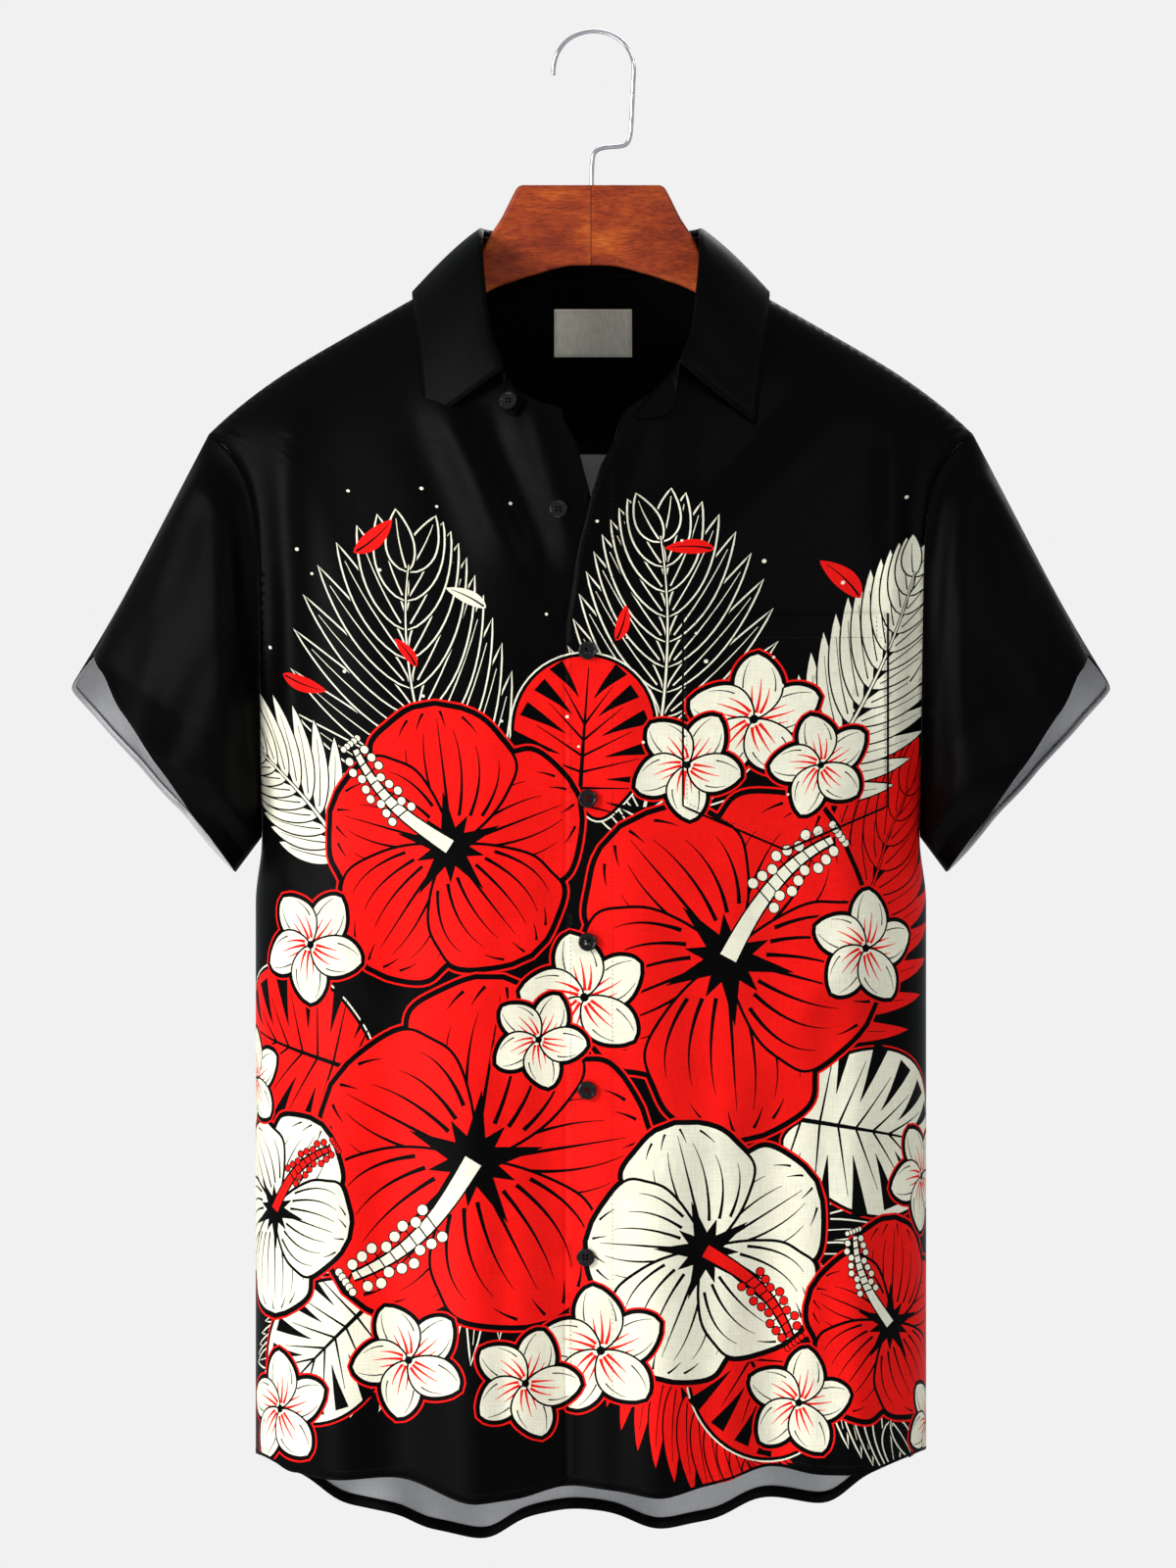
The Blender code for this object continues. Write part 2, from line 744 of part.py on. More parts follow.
def sleeve_opening(angle, face, side):
    """A point of the sleeve's hem: angle from the top, face -1 in front and 1 behind."""
    degrees = -face * math.degrees(angle)
    along = SLEEVE_REACH * (1.0 + math.cos(angle))
    out = straight(SLEEVE_OPENING, degrees)
    axis_x, axis_z = SLEEVE_AXIS
    x = SLEEVE_UNDERARM[0] + along * axis_x + out * axis_z
    z = SLEEVE_UNDERARM[1] + along * axis_z - out * axis_x
    return Vector((side * x, face * SLEEVE_DEPTH * math.sin(angle), z))


def sleeve(name, side, material, collection):
    """A loft from the armhole to the sleeve's opening."""
    around = [(step, -1) for step in range(ARMHOLE_STEPS + 1)]
    around += [(step, 1) for step in range(ARMHOLE_STEPS - 1, 0, -1)]
    rows = []
    for strip in range(SLEEVE_STEPS + 1):
        share = strip / SLEEVE_STEPS
        row = []
        for step, face in around:
            z, x, depth, angle = armhole_ring(step)
            start = Vector((side * (x + SEAM_GAP / 2.0), face * depth, z))
            end = sleeve_opening(angle, face, side)
            point = start.lerp(end, share)
            crest = math.exp(-((share - SLEEVE_CREST_PLACE) / SLEEVE_CREST_RUN) ** 2)
            point.y += face * SLEEVE_CREST * crest * math.sin(angle) ** 2 * smoothstep(share * 6.0)
            row.append(point)
        rows.append(row)
    normals = grid_normals(rows, True, side < 0)
    for j, (step, face) in enumerate(around):
        normals[0][j] = seam_normal(armhole_ring(step)[3], side, face, -0.5)
    return wall(name, rows, normals, CLOTH, material, collection, closed=True)


def collar_side(side, neckline, leaf_end, tab):
    """Neck seam, fold and outer edge of half the collar, from the centre back to a front."""
    stations = []
    half_steps = BACK_NECK_STEPS // 2
    for step in range(half_steps + 1):
        x = NECK_X * math.sin(step / half_steps * math.pi / 2.0)
        fold = Vector([straight(COLLAR_BACK, x, column) for column in (2, 3, 4)])
        edge = Vector([straight(COLLAR_BACK, x, column) for column in (5, 6, 7)])
        z = straight(BACK_NECK, x)
        neck = on_body(x, z, 1) if step < half_steps else Vector((x, 0.0, z))
        stations.append((neck, fold, edge))
    lap = lap_lift if side > 0 else lambda x: 0.0
    for (x, z), row in zip(neckline[::-1], (*COLLAR_FRONT, leaf_end)):
        fold = Vector(row[:3])
        edge = on_body(row[3], row[5], -1, row[4])
        stations.append((on_body(x, z, -1, lap(x)), fold, edge))
    for neck_x, neck_z, fold_x, fold_z in tab:
        neck = on_body(neck_x, neck_z, -1, lap(neck_x) + TAB_LIFT)
        fold = on_body(fold_x, fold_z, -1, lap(fold_x) + TAB_LIFT)
        if stations[-1][2]:
            last_neck, last_fold, _ = stations[-1]
            stations.append((last_neck.lerp(neck, 0.5), last_fold.lerp(fold, 0.5), None))
        stations.append((neck, fold, None))
    flipped = Vector((side, 1.0, 1.0))
    return [tuple(point * flipped if point else None for point in station)
            for station in stations]


def collar_stations():
    """The whole collar, from the under front's tab round the back to the over front's tab."""
    under = collar_side(-1, UNDER_TOP, UNDER_LEAF_END, UNDER_TAB)
    return under[:0:-1] + collar_side(1, OVER_TOP, OVER_LEAF_END, OVER_TAB)


def stand_rows(stations):
    """Three rows of the stand's outer face, top to neck seam."""
    rows = [[], [], []]
    for neck, fold, edge in stations:
        up = (fold - neck).normalized()
        top = fold - up * STAND_TOP_GAP if edge else fold
        bottom = neck + up * SEAM_GAP
        rows[0].append(top)
        rows[1].append(top.lerp(bottom, 0.5))
        rows[2].append(bottom)
    return rows


def collar_stand(material, collection):
    rows = stand_rows(collar_stations())
    normals = grid_normals(rows, False, False)
    return wall("collar_stand", rows, normals, CLOTH, material, collection)


def collar_leaf(material, collection):
    """Leaf: up from the stand, round the fold and down to its outer edge."""
    stations = collar_stations()
    stand_normals = grid_normals(stand_rows(stations), False, False)[0]
    columns = []
    for (neck, fold, edge), outward in zip(stations, stand_normals):
        if edge is None:
            continue
        up = (fold - neck).normalized()
        outward = (outward - up * outward.dot(up)).normalized()
        start = fold - outward * CLOTH
        centre = start + outward * LEAF_ROLL_RADIUS
        fall = edge - centre
        turn = math.atan2(fall.dot(outward), fall.dot(up))
        column = [start - up * LEAF_START]
        for step in range(LEAF_ROLL_STEPS + 1):
            angle = turn * step / LEAF_ROLL_STEPS
            spoke = up * math.sin(angle) - outward * math.cos(angle)
            column.append(centre + spoke * LEAF_ROLL_RADIUS)
        last = column[-1]
        for share, bulge in LEAF_FALL:
            column.append(last.lerp(edge, share) + spoke * bulge)
        columns.append(column)
    rows = [list(row) for row in zip(*columns)]
    normals = grid_normals(rows, False, False)
    return wall("collar_leaf", rows, normals, COLLAR_CLOTH, material, collection)


def pocket(material, collection):
    """Patch pocket with a pointed lower edge, made from the over front's surface moved out."""
    middle = (POCKET_LEFT_X + POCKET_RIGHT_X) / 2.0
    half = (POCKET_RIGHT_X - POCKET_LEFT_X) / 2.0
    rows = []
    for i in range(POCKET_ROWS + 1):
        row = []
        for j in range(POCKET_COLUMNS + 1):
            x = mix(POCKET_LEFT_X, POCKET_RIGHT_X, j / POCKET_COLUMNS)
            low = mix(POCKET_TIP_Z, POCKET_CORNER_Z, abs(x - middle) / half)
            z = mix(POCKET_TOP_Z, low, i / POCKET_ROWS)
            row.append(on_body(x, z, -1, lap_lift(x)))
        rows.append(row)
    normals = grid_normals(rows, False, True)
    rows = lifted(rows, normals, POCKET_GAP + CLOTH)
    return wall("pocket", rows, normals, CLOTH, material, collection)


def label(material, collection):
    """Woven label, made from the yoke's surface moved in past the facing."""
    rows = []
    for i in range(LABEL_ROWS + 1):
        row = []
        for j in range(LABEL_COLUMNS + 1):
            x = LABEL_CENTRE[0] + LABEL_SIZE[0] * (j / LABEL_COLUMNS - 0.5)
            z = LABEL_CENTRE[1] + LABEL_SIZE[1] * (0.5 - i / LABEL_ROWS)
            row.append(on_body(x, z, 1))
        rows.append(row)
    normals = grid_normals(rows, False, False)
    rows = lifted(rows, normals, -(CLOTH + FACING_GAP + FACING_CLOTH + LABEL_GAP))
    return wall("label", rows, normals, LABEL_CLOTH, material, collection)


def cutter(name, mesh, guides):
    thing = bpy.data.objects.new(name, mesh)
    thing.hide_render = True
    thing.display_type = "WIRE"
    guides.objects.link(thing)
    return thing


def cut(thing, tool):
    boolean = thing.modifiers.new("cut " + tool.name, "BOOLEAN")
    boolean.operation = "DIFFERENCE"
    boolean.solver = "EXACT"
    boolean.object = tool


def button_holes(guides):
    """Four round cutters in one mesh, along the button's axis."""
    form = bmesh.new()
    for turn in range(4):
        angle = math.radians(45.0 + 90.0 * turn)
        made = bmesh.ops.create_cone(
            form, cap_ends=True, segments=8, radius1=BUTTON_HOLE_RADIUS * MM,
            radius2=BUTTON_HOLE_RADIUS * MM, depth=4.0 * BUTTON_THICKNESS * MM)
        offset = Vector((math.cos(angle), math.sin(angle), 0.0)) * BUTTON_HOLE_OFFSET * MM
        bmesh.ops.translate(form, verts=made["verts"], vec=offset)
    mesh = bpy.data.meshes.new("button_holes")
    form.to_mesh(mesh)
    form.free()
    return cutter("button_holes", mesh, guides)


def button_blank():
    """Turned profile of a button, its back at zero height; the axis is Z."""
    flat = BUTTON_RADIUS - BUTTON_RIM - 0.9
    profile = (
        # radius, height, down the outer side
        (0.0, BUTTON_THICKNESS - BUTTON_DISH),
        (flat, BUTTON_THICKNESS - BUTTON_DISH),
        (BUTTON_RADIUS - BUTTON_RIM, BUTTON_THICKNESS),
        (BUTTON_RADIUS - 0.35, BUTTON_THICKNESS - 0.25),
        (BUTTON_RADIUS, BUTTON_THICKNESS * 0.45),
        (BUTTON_RADIUS - 1.0, 0.0),
        (0.0, 0.0),
    )
    mesh = bpy.data.meshes.new("button_profile")
    corners = [Vector((radius, 0.0, height)) * MM for radius, height in profile]
    edges = [(k, k + 1) for k in range(len(profile) - 1)]
    mesh.from_pydata(corners, edges, [])
    return mesh


def turned(name, profile, sides, collection):
    """A mesh turned about Z from a profile with the Screw modifier."""
    thing = bpy.data.objects.new(name, profile)
    collection.objects.link(thing)
    screw = thing.modifiers.new("turn", "SCREW")
    screw.steps = screw.render_steps = sides
    screw.use_merge_vertices = True
    screw.merge_threshold = 0.00001
    screw.use_smooth_shade = True
    return thing


def surface_frame(x, z, lift):
    """Place and outward direction on the shirt's front."""
    step = 3.0
    across = on_body(x + step, z, -1) - on_body(x - step, z, -1)
    down = on_body(x, z - step, -1) - on_body(x, z + step, -1)
    outward = down.cross(across).normalized()
    return on_body(x, z, -1) + outward * (lift + BUTTON_GAP), outward


def buttons(material, collection, guides):
    blank = turned("button_blank", button_blank(), BUTTON_SIDES, collection)
    holes = button_holes(guides)
    cut(blank, holes)
    bpy.context.view_layer.update()
    depsgraph = bpy.context.evaluated_depsgraph_get()
    mesh = bpy.data.meshes.new_from_object(blank.evaluated_get(depsgraph))
    mesh.name = "button"
    mesh.set_sharp_from_angle(angle=math.radians(40.0))
    bpy.data.objects.remove(blank)
    for number, (x, z, lift) in enumerate(BUTTONS, 1):
        place, outward = surface_frame(x, z, lift)
        thing = add_object(f"button_{number}", mesh, material, collection)
        thing.location = place * MM
        thing.rotation_euler = outward.to_track_quat("Z", "X").to_euler()


def bar_outline(side):
    """Outline of one wooden half, seen from the front."""
    joint = SEAM_GAP / 2.0
    points = [(joint, BAR_TOP[0][1]), *BAR_TOP]
    points += [(x, shoulder_z(x) - BAR_CLEARANCE) for x in BAR_COVERED_X]
    points += [*BAR_END, *BAR_UNDER[:0:-1], (joint, BAR_UNDER[0][1])]
    return [(side * x, z) for x, z in points]


def hanger_bar(name, side, bore, material, collection):
    curve = bpy.data.curves.new(name, "CURVE")
    curve.dimensions = "2D"
    curve.fill_mode = "BOTH"
    curve.extrude = BAR_THICKNESS / 2.0 * MM
    outline = bar_outline(side)
    spline = curve.splines.new("POLY")
    spline.points.add(len(outline) - 1)
    for point, (x, z) in zip(spline.points, outline):
        point.co = (x * MM, z * MM, 0.0, 1.0)
    spline.use_cyclic_u = True
    flat = bpy.data.objects.new(name + "_outline", curve)
    collection.objects.link(flat)
    flat.rotation_euler = (math.pi / 2.0, 0.0, 0.0)
    bpy.context.view_layer.update()
    depsgraph = bpy.context.evaluated_depsgraph_get()
    mesh = bpy.data.meshes.new_from_object(flat.evaluated_get(depsgraph))
    mesh.transform(flat.matrix_world)
    bpy.data.objects.remove(flat)
    form = bmesh.new()
    form.from_mesh(mesh)
    bmesh.ops.remove_doubles(form, verts=form.verts, dist=0.00001)
    bmesh.ops.dissolve_limit(form, angle_limit=math.radians(1.0), verts=form.verts,
                             edges=form.edges)
    bmesh.ops.recalc_face_normals(form, faces=form.faces)
    rounded = form.edges.layers.float.new("bevel_weight_edge")
    for edge in form.edges:
        first, second = (corner.co for corner in edge.verts)
        at_joint = max(abs(first.x), abs(second.x)) < SEAM_GAP * MM
        if abs(first.y - second.y) < SEAM_GAP * MM and not at_joint:
            edge[rounded] = 1.0
    form.to_mesh(mesh)
    form.free()
    thing = add_object(name, mesh, material, collection)
    rounding = thing.modifiers.new("rounding", "BEVEL")
    rounding.width = BAR_ROUNDING * MM
    rounding.segments = 3
    rounding.limit_method = "WEIGHT"
    cut(thing, bore)
    mesh.shade_smooth()
    mesh.set_sharp_from_angle(angle=math.radians(40.0))
    return thing


def hook_bore(guides):
    """Cutter for the round hole that the hook's stem sits in."""
    form = bmesh.new()
    bmesh.ops.create_cone(form, cap_ends=True, segments=BORE_SIDES, radius1=BORE_RADIUS * MM,
                          radius2=BORE_RADIUS * MM, depth=2.0 * BORE_DEPTH * MM)
    place = Vector((HOOK_STEM[-1][0], 0.0, BAR_TOP[0][1])) * MM
    bmesh.ops.translate(form, verts=form.verts, vec=place)
    mesh = bpy.data.meshes.new("hook_bore")
    form.to_mesh(mesh)
    form.free()
    return cutter("hook_bore", mesh, guides)


def hanger_hook(material, collection):
    points = []
    centre_z = WIRE_RADIUS - HOOK_RADIUS
    for step in range(HOOK_ARC_STEPS + 1):
        angle = math.radians(HOOK_END_ANGLE * (1.0 - step / HOOK_ARC_STEPS))
        points.append((HOOK_CENTRE_X + HOOK_RADIUS * math.cos(angle),
                       centre_z + HOOK_RADIUS * math.sin(angle)))
    points += HOOK_STEM
    curve = bpy.data.curves.new("hanger_hook", "CURVE")
    curve.dimensions = "3D"
    curve.bevel_depth = WIRE_RADIUS * MM
    curve.bevel_resolution = 2
    curve.use_fill_caps = True
    spline = curve.splines.new("POLY")
    spline.points.add(len(points) - 1)
    for point, (x, z) in zip(spline.points, points):
        point.co = (x * MM, 0.0, z * MM, 1.0)
    spline.use_smooth = True
    curve.materials.append(material)
    thing = bpy.data.objects.new("hanger_hook", curve)
    collection.objects.link(thing)
    return thing


def main():
    for thing in list(bpy.data.objects):
        bpy.data.objects.remove(thing)
    parts = bpy.data.collections.new("shirt_on_hanger")
    guides = bpy.data.collections.new("cutters")
    for collection in (parts, guides):
        bpy.context.scene.collection.children.link(collection)

    black_cloth = (0.010, 0.010, 0.011)
    front_panel("front_right", -1, UNDER_TOP, UNDER_EDGE, lambda x: 0.0,
                finish("under_front_cloth", black_cloth, 0.62), parts)
    front_panel("front_left", 1, OVER_TOP, OVER_EDGE, lap_lift,
                finish("over_front_cloth", black_cloth, 0.62), parts)
    back(finish("back_cloth", black_cloth, 0.64), parts)
    yoke(finish("yoke_cloth", black_cloth, 0.64), parts)
    yoke_facing(finish("facing_cloth", black_cloth, 0.7), parts)
    sleeve("sleeve_right", -1, finish("right_sleeve_cloth", black_cloth, 0.62), parts)
    sleeve("sleeve_left", 1, finish("left_sleeve_cloth", black_cloth, 0.62), parts)
    collar_stand(finish("stand_cloth", black_cloth, 0.6), parts)
    collar_leaf(finish("leaf_cloth", black_cloth, 0.6), parts)
    pocket(finish("pocket_cloth", black_cloth, 0.62), parts)
    label(finish("label_weave", (0.80, 0.72, 0.55), 0.7), parts)
    buttons(finish("button_resin", (0.012, 0.012, 0.013), 0.22), parts, guides)
    bore = hook_bore(guides)
    wood = (0.36, 0.075, 0.018)
    hanger_bar("hanger_bar_right", -1, bore, finish("right_bar_wood", wood, 0.38), parts)
    hanger_bar("hanger_bar_left", 1, bore, finish("left_bar_wood", wood, 0.38), parts)
    hanger_hook(finish("hook_chrome", (0.78, 0.78, 0.80), 0.16, 1.0), parts)


main()
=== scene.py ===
"""Looks of a short-sleeved shirt on a wooden hanger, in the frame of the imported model.

Sizes are in millimetres and become metres when a mesh is made. The front faces -Y, +X is
to the right of someone who faces it, and the origin is where the hook rests on a rail.
"""

import math

import bpy
import numpy as np
from mathutils import Matrix, Vector
from mathutils.geometry import delaunay_2d_cdt


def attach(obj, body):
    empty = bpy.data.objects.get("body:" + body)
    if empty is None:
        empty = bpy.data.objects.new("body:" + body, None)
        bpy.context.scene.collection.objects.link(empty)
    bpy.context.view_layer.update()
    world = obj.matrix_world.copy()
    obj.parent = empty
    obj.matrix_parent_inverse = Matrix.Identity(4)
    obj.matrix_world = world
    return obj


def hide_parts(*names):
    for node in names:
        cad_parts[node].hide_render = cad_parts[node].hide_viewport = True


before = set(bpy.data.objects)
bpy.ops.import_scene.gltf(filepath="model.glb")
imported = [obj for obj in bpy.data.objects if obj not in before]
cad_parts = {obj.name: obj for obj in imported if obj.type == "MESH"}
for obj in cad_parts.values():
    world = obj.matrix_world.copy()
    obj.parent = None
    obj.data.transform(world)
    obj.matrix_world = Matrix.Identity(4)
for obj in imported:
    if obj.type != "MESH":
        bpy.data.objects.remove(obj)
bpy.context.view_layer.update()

MM = 0.001
SLOTS = {
    "front_left": "over_front_cloth", "front_right": "under_front_cloth", "back": "back_cloth",
    "yoke": "yoke_cloth", "yoke_facing": "facing_cloth", "sleeve_left": "left_sleeve_cloth",
    "sleeve_right": "right_sleeve_cloth", "collar_stand": "stand_cloth",
    "collar_leaf": "leaf_cloth", "pocket": "pocket_cloth", "label": "label_weave",
}

# The shirt's form, the same sizes as in the solids
CLOTH = 0.7                  # one layer of shirt cloth
SEAM_GAP = 0.3
HALF_WIDTH = 205.5
FRONT_DEPTH = 88.0
BACK_DEPTH = 84.0
SECTION_POWER = 2.5
RIDGE_POWER = 1.6
RIDGE_RUN = 260.0
SIDE_HEM_Z = -867.0
SHOULDER_TOP_Z = -100.0
SHOULDER_SLOPE = 0.57
SHOULDER_X = 234.0
SHOULDER_ROUND_X = 150.0
SHOULDER_ROUND_DROP = 12.0
SHOULDER_ROUND_RUN = 85.0
NECK_RISE_X = 107.0
NECK_RISE = 14.0
NECK_RISE_RUN = 50.0
NECK_X = 70.0
UNDERARM_Z = -492.0
ARMHOLE_X = 201.5
ARMHOLE_LEAN = 3.0
ARMHOLE_FLARE = 29.5
ARMHOLE_FLARE_POWER = 12
ARMHOLE_DEPTH = 40.0
ARMHOLE_EDGE_SHARE = 0.8
UNDERARM_EASE = 40.0
ARMHOLE_STEPS = 14
ARMHOLE_STEP_POWER = 1.15
YOKE_STEPS = 5
SIDE_STEPS = 13
SHOULDER_STEPS = 10
BACK_NECK_STEPS = 12
COLUMN_SPREAD = (0.75, 4.0)
SIDE_CROWDING = 0.72
YOKE_SEAM_Z = -257.0
YOKE_SEAM_DROP = 45.0
YOKE_SEAM_DROP_X = 215.0
FACING_CLOTH = 0.6
FACING_GAP = 0.3
LAP_LIFT = 2.6
LAP_EDGE_X = 16.0
LAP_FADE = 30.0

OVER_TOP = ((19.0, -234.0), (23.6, -229.0), (30.2, -224.4), (38.0, -219.5), (47.0, -210.0),
            (56.0, -199.0), (63.0, -184.0), (67.5, -168.0), (70.0, -150.0), (70.6, -139.5))
UNDER_TOP = ((17.7, -230.0), (22.3, -228.2), (30.6, -226.0), (38.8, -222.2), (47.5, -215.0),
             (56.0, -203.0), (63.0, -186.0), (67.5, -168.0), (70.0, -150.0), (70.6, -139.5))
BACK_NECK = ((0.0, -150.0), (25.0, -149.2), (48.0, -144.5), (62.0, -138.0), (70.0, -132.3))
OVER_EDGE = ((-234.0, 19.0), (-241.5, 15.8), (-250.0, 14.0), (-264.0, 6.2), (-281.0, 0.7),
             (-316.0, -8.0), (-364.0, -15.6), (-900.0, -15.6))
UNDER_EDGE = ((-230.0, 17.7), (-236.0, 16.8), (-247.0, 10.8), (-255.0, 7.6), (-283.0, 0.3),
              (-320.0, -8.0), (-378.0, -14.0), (-900.0, -14.0))

FLUTE_TOP_Z = -540.0
HEM_SOFTNESS = 7.0
FLUTE_FAINT_Z = -330.0       # the flutes run on faintly up to here
FLUTE_FAINT = 0.22
FRONT_FLUTES = (
    # x, out, hem z
    (-205.5, 0.0, -868.5), (-181.0, 1.0, -881.0), (-157.0, 5.5, -885.4), (-120.0, -7.5, -882.8),
    (-71.0, 11.0, -900.2), (-49.0, 3.0, -897.0), (-13.0, -9.0, -887.5), (12.0, -1.0, -891.0),
    (42.0, 11.0, -896.6), (78.0, 0.0, -887.0), (110.0, -9.0, -875.4), (139.0, 0.0, -882.0),
    (165.0, 8.0, -882.3), (194.0, 1.0, -872.0), (205.5, 0.0, -865.5),
)
BACK_FLUTES = (
    # x, out, hem z
    (-205.5, 0.0, -867.0), (-182.0, 1.5, -881.0), (-150.0, 6.5, -902.0), (-120.0, -5.0, -907.0),
    (-101.0, 2.0, -917.0), (-64.0, 11.0, -924.0), (-37.0, 0.0, -908.5), (-11.0, -9.0, -904.0),
    (9.0, -3.0, -906.0), (41.0, 10.0, -918.0), (72.0, 0.0, -912.0), (107.0, -9.0, -896.4),
    (145.0, 7.0, -902.0), (174.0, 1.5, -881.0), (205.5, 0.0, -866.0),
)
FRONT_FOLDS = (
    # start x, start z, end x, end z, out, half width
    (-86.0, -240.0, -54.0, -305.0, 5.6, 12.0),
    (-58.0, -250.0, -35.0, -308.0, -5.4, 11.0),
    (74.0, -262.0, 34.0, -345.0, 3.0, 13.0),
    (-188.0, -262.0, -184.0, -440.0, 5.0, 11.0),
    (184.0, -258.0, 188.0, -430.0, 5.0, 10.0),
    (150.0, -575.0, 70.0, -680.0, 3.0, 20.0),
    (-160.0, -530.0, -80.0, -650.0, 3.0, 20.0),
    (-224.0, -248.0, -208.0, -322.0, 4.5, 6.5),
    (-216.0, -262.0, -200.0, -345.0, -3.0, 6.0),
    (-176.0, -250.0, -158.0, -330.0, 1.6, 12.0),
    (152.0, -236.0, 52.0, -342.0, 5.2, 22.0),
    (112.0, -236.0, 20.0, -316.0, -4.6, 15.0),
    (-98.0, -262.0, -72.0, -345.0, -1.8, 12.0),
    (30.0, -262.0, 12.0, -330.0, 1.4, 7.0),
    (-30.0, -250.0, -16.0, -300.0, 1.8, 6.0),
    (197.0, -300.0, 196.0, -430.0, -3.0, 6.0),
    (-197.0, -345.0, -196.0, -440.0, -3.0, 6.0),
    (-140.0, -380.0, -96.0, -500.0, 1.6, 16.0),
    (-60.0, -400.0, -64.0, -560.0, 1.8, 15.0),
    (20.0, -420.0, 28.0, -600.0, 1.5, 13.0),
    (-20.0, -520.0, -30.0, -700.0, -2.0, 13.0),
    (60.0, -560.0, 74.0, -720.0, -2.2, 14.0),
    (-120.0, -560.0, -126.0, -740.0, -2.2, 15.0),
    (150.0, -480.0, 168.0, -640.0, 2.0, 14.0),
    (190.0, -520.0, 140.0, -585.0, 1.8, 9.0),
    (-192.0, -515.0, -150.0, -570.0, 1.8, 9.0),
    (-186.0, -560.0, -182.0, -700.0, -1.8, 9.0),
    (176.0, -600.0, 180.0, -760.0, -1.6, 10.0),
)
BACK_FOLDS = (
    # start x, start z, end x, end z, out, half width
    (-170.0, -330.0, -186.0, -470.0, 5.0, 12.0),
    (172.0, -330.0, 186.0, -470.0, 5.0, 12.0),
    (-120.0, -420.0, -150.0, -600.0, -4.0, 20.0),
    (110.0, -400.0, 140.0, -620.0, -4.0, 20.0),
    (-62.0, -330.0, -80.0, -520.0, 2.6, 15.0),
    (54.0, -310.0, 66.0, -540.0, 2.8, 15.0),
    (-12.0, -300.0, -18.0, -560.0, -2.6, 16.0),
    (-196.0, -520.0, -140.0, -590.0, 2.0, 9.0),
    (194.0, -515.0, 150.0, -600.0, 2.2, 9.0),
    (-150.0, -270.0, -176.0, -350.0, 1.8, 10.0),
    (152.0, -268.0, 178.0, -345.0, 1.8, 10.0),
    (20.0, -560.0, 30.0, -740.0, 1.8, 14.0),
    (-90.0, -600.0, -96.0, -780.0, -2.0, 14.0),
    (90.0, -640.0, 84.0, -800.0, 2.0, 12.0),
)
FOLD_END = 25.0
FOLD_EDGE = 16.0
FOLD_RIDGE = 18.0

SLEEVE_UNDERARM = (217.0, -513.0)
SLEEVE_AXIS = (0.62, 0.785)
SLEEVE_REACH = 79.0
SLEEVE_DEPTH = 43.0
SLEEVE_OPENING = (
    # degrees from the top, negative at the back; set out
    (-180.0, 1.0), (-120.0, 4.0), (-90.0, 7.0), (-60.0, 9.5), (-28.0, 11.0), (0.0, -13.0),
    (30.0, -10.5), (60.0, -5.0), (90.0, -2.0), (120.0, 0.0), (180.0, 1.0),
)
SLEEVE_BODY = 5.0            # the front and back of a sleeve stand out a little
SLEEVE_CREST = (12.5, 8.0)   # sharp upright crest beside the seam, front and back
SLEEVE_CREST_X = (236.5, 229.0)
SLEEVE_CREST_LEAN = 0.05     # the crest comes nearer to the body further down
SLEEVE_CREST_RUN = (29.0, 56.0)   # width of its slopes, towards the body and the hem
SLEEVE_CREST_WAVE = (1.2, 38.0, -300.0)   # the crest wanders: how far, how fast, from what z
SLEEVE_CREASE_BACK = (6.0, 8.0)   # the crease's shift on the back, in x and z
SLEEVE_CREASE_LEAN = 0.85
SLEEVE_BODY_SHARE = (0.35, 0.4)   # where the sleeve stands out most, and its spread
SLEEVE_FLAT = 150.0          # length of a sleeve, cut flat
SLEEVE_CREST_Z = (-246.0, -285.0, -462.0, -496.0)
SLEEVE_CREASE = (
    # x, z of the crease under the arm; the cloth turns under below it
    (190.0, -505.0), (208.0, -489.0), (224.0, -466.5), (236.0, -457.5), (249.0, -452.0),
    (272.0, -438.0), (320.0, -404.0),
)
SLEEVE_CREASE_OUT = (7.5, 5.0)
SLEEVE_CREASE_RUN = (26.0, 15.0)  # above and below the crease
SLEEVE_FOLDS = (
    # start x, start z, end x, end z, out, half width
    (246.0, -300.0, 286.0, -400.0, -2.2, 12.0),
    (238.0, -262.0, 262.0, -330.0, 1.6, 8.0),
    (262.0, -330.0, 274.0, -404.0, 1.8, 9.0),
    (212.0, -300.0, 214.0, -440.0, -2.4, 6.0),
    (240.0, -400.0, 258.0, -440.0, -1.6, 9.0),
)

COLLAR_BACK = (
    # neck x, z, fold x, y, z, edge x, y, z
    (0.0, -150.0, 0.0, 44.0, -125.5, 0.0, 53.5, -166.0),
    (25.0, -149.2, 26.0, 41.5, -125.0, 32.0, 51.5, -166.5),
    (48.0, -144.5, 48.0, 31.0, -123.5, 66.0, 44.0, -167.0),
    (62.0, -138.0, 61.0, 16.5, -122.0, 97.0, 22.0, -163.0),
    (70.0, -132.3, 66.5, 0.0, -121.5, 109.5, 0.5, -157.5),
)
COLLAR_FRONT = (
    # fold x, y, z, edge x, out, z for each point of the neckline from the neck point down
    (66.8, -15.0, -126.0, 109.0, 4.4, -166.0),
    (66.8, -28.0, -137.0, 107.5, 2.6, -179.0),
    (65.0, -42.0, -158.0, 105.5, 2.6, -197.0),
    (61.5, -53.0, -184.0, 103.8, 2.6, -217.0),
)
OVER_LEAF_END = (55.0, -63.0, -202.0, 101.7, 2.6, -239.5)
UNDER_LEAF_END = (53.8, -63.0, -205.5, 101.7, 3.2, -239.5)
OVER_TAB = ((46.8, -212.0, 53.0, -220.5), (40.0, -218.0, 49.0, -231.0),
            (33.0, -226.0, 40.5, -235.6), (26.6, -234.6, 31.0, -236.2))
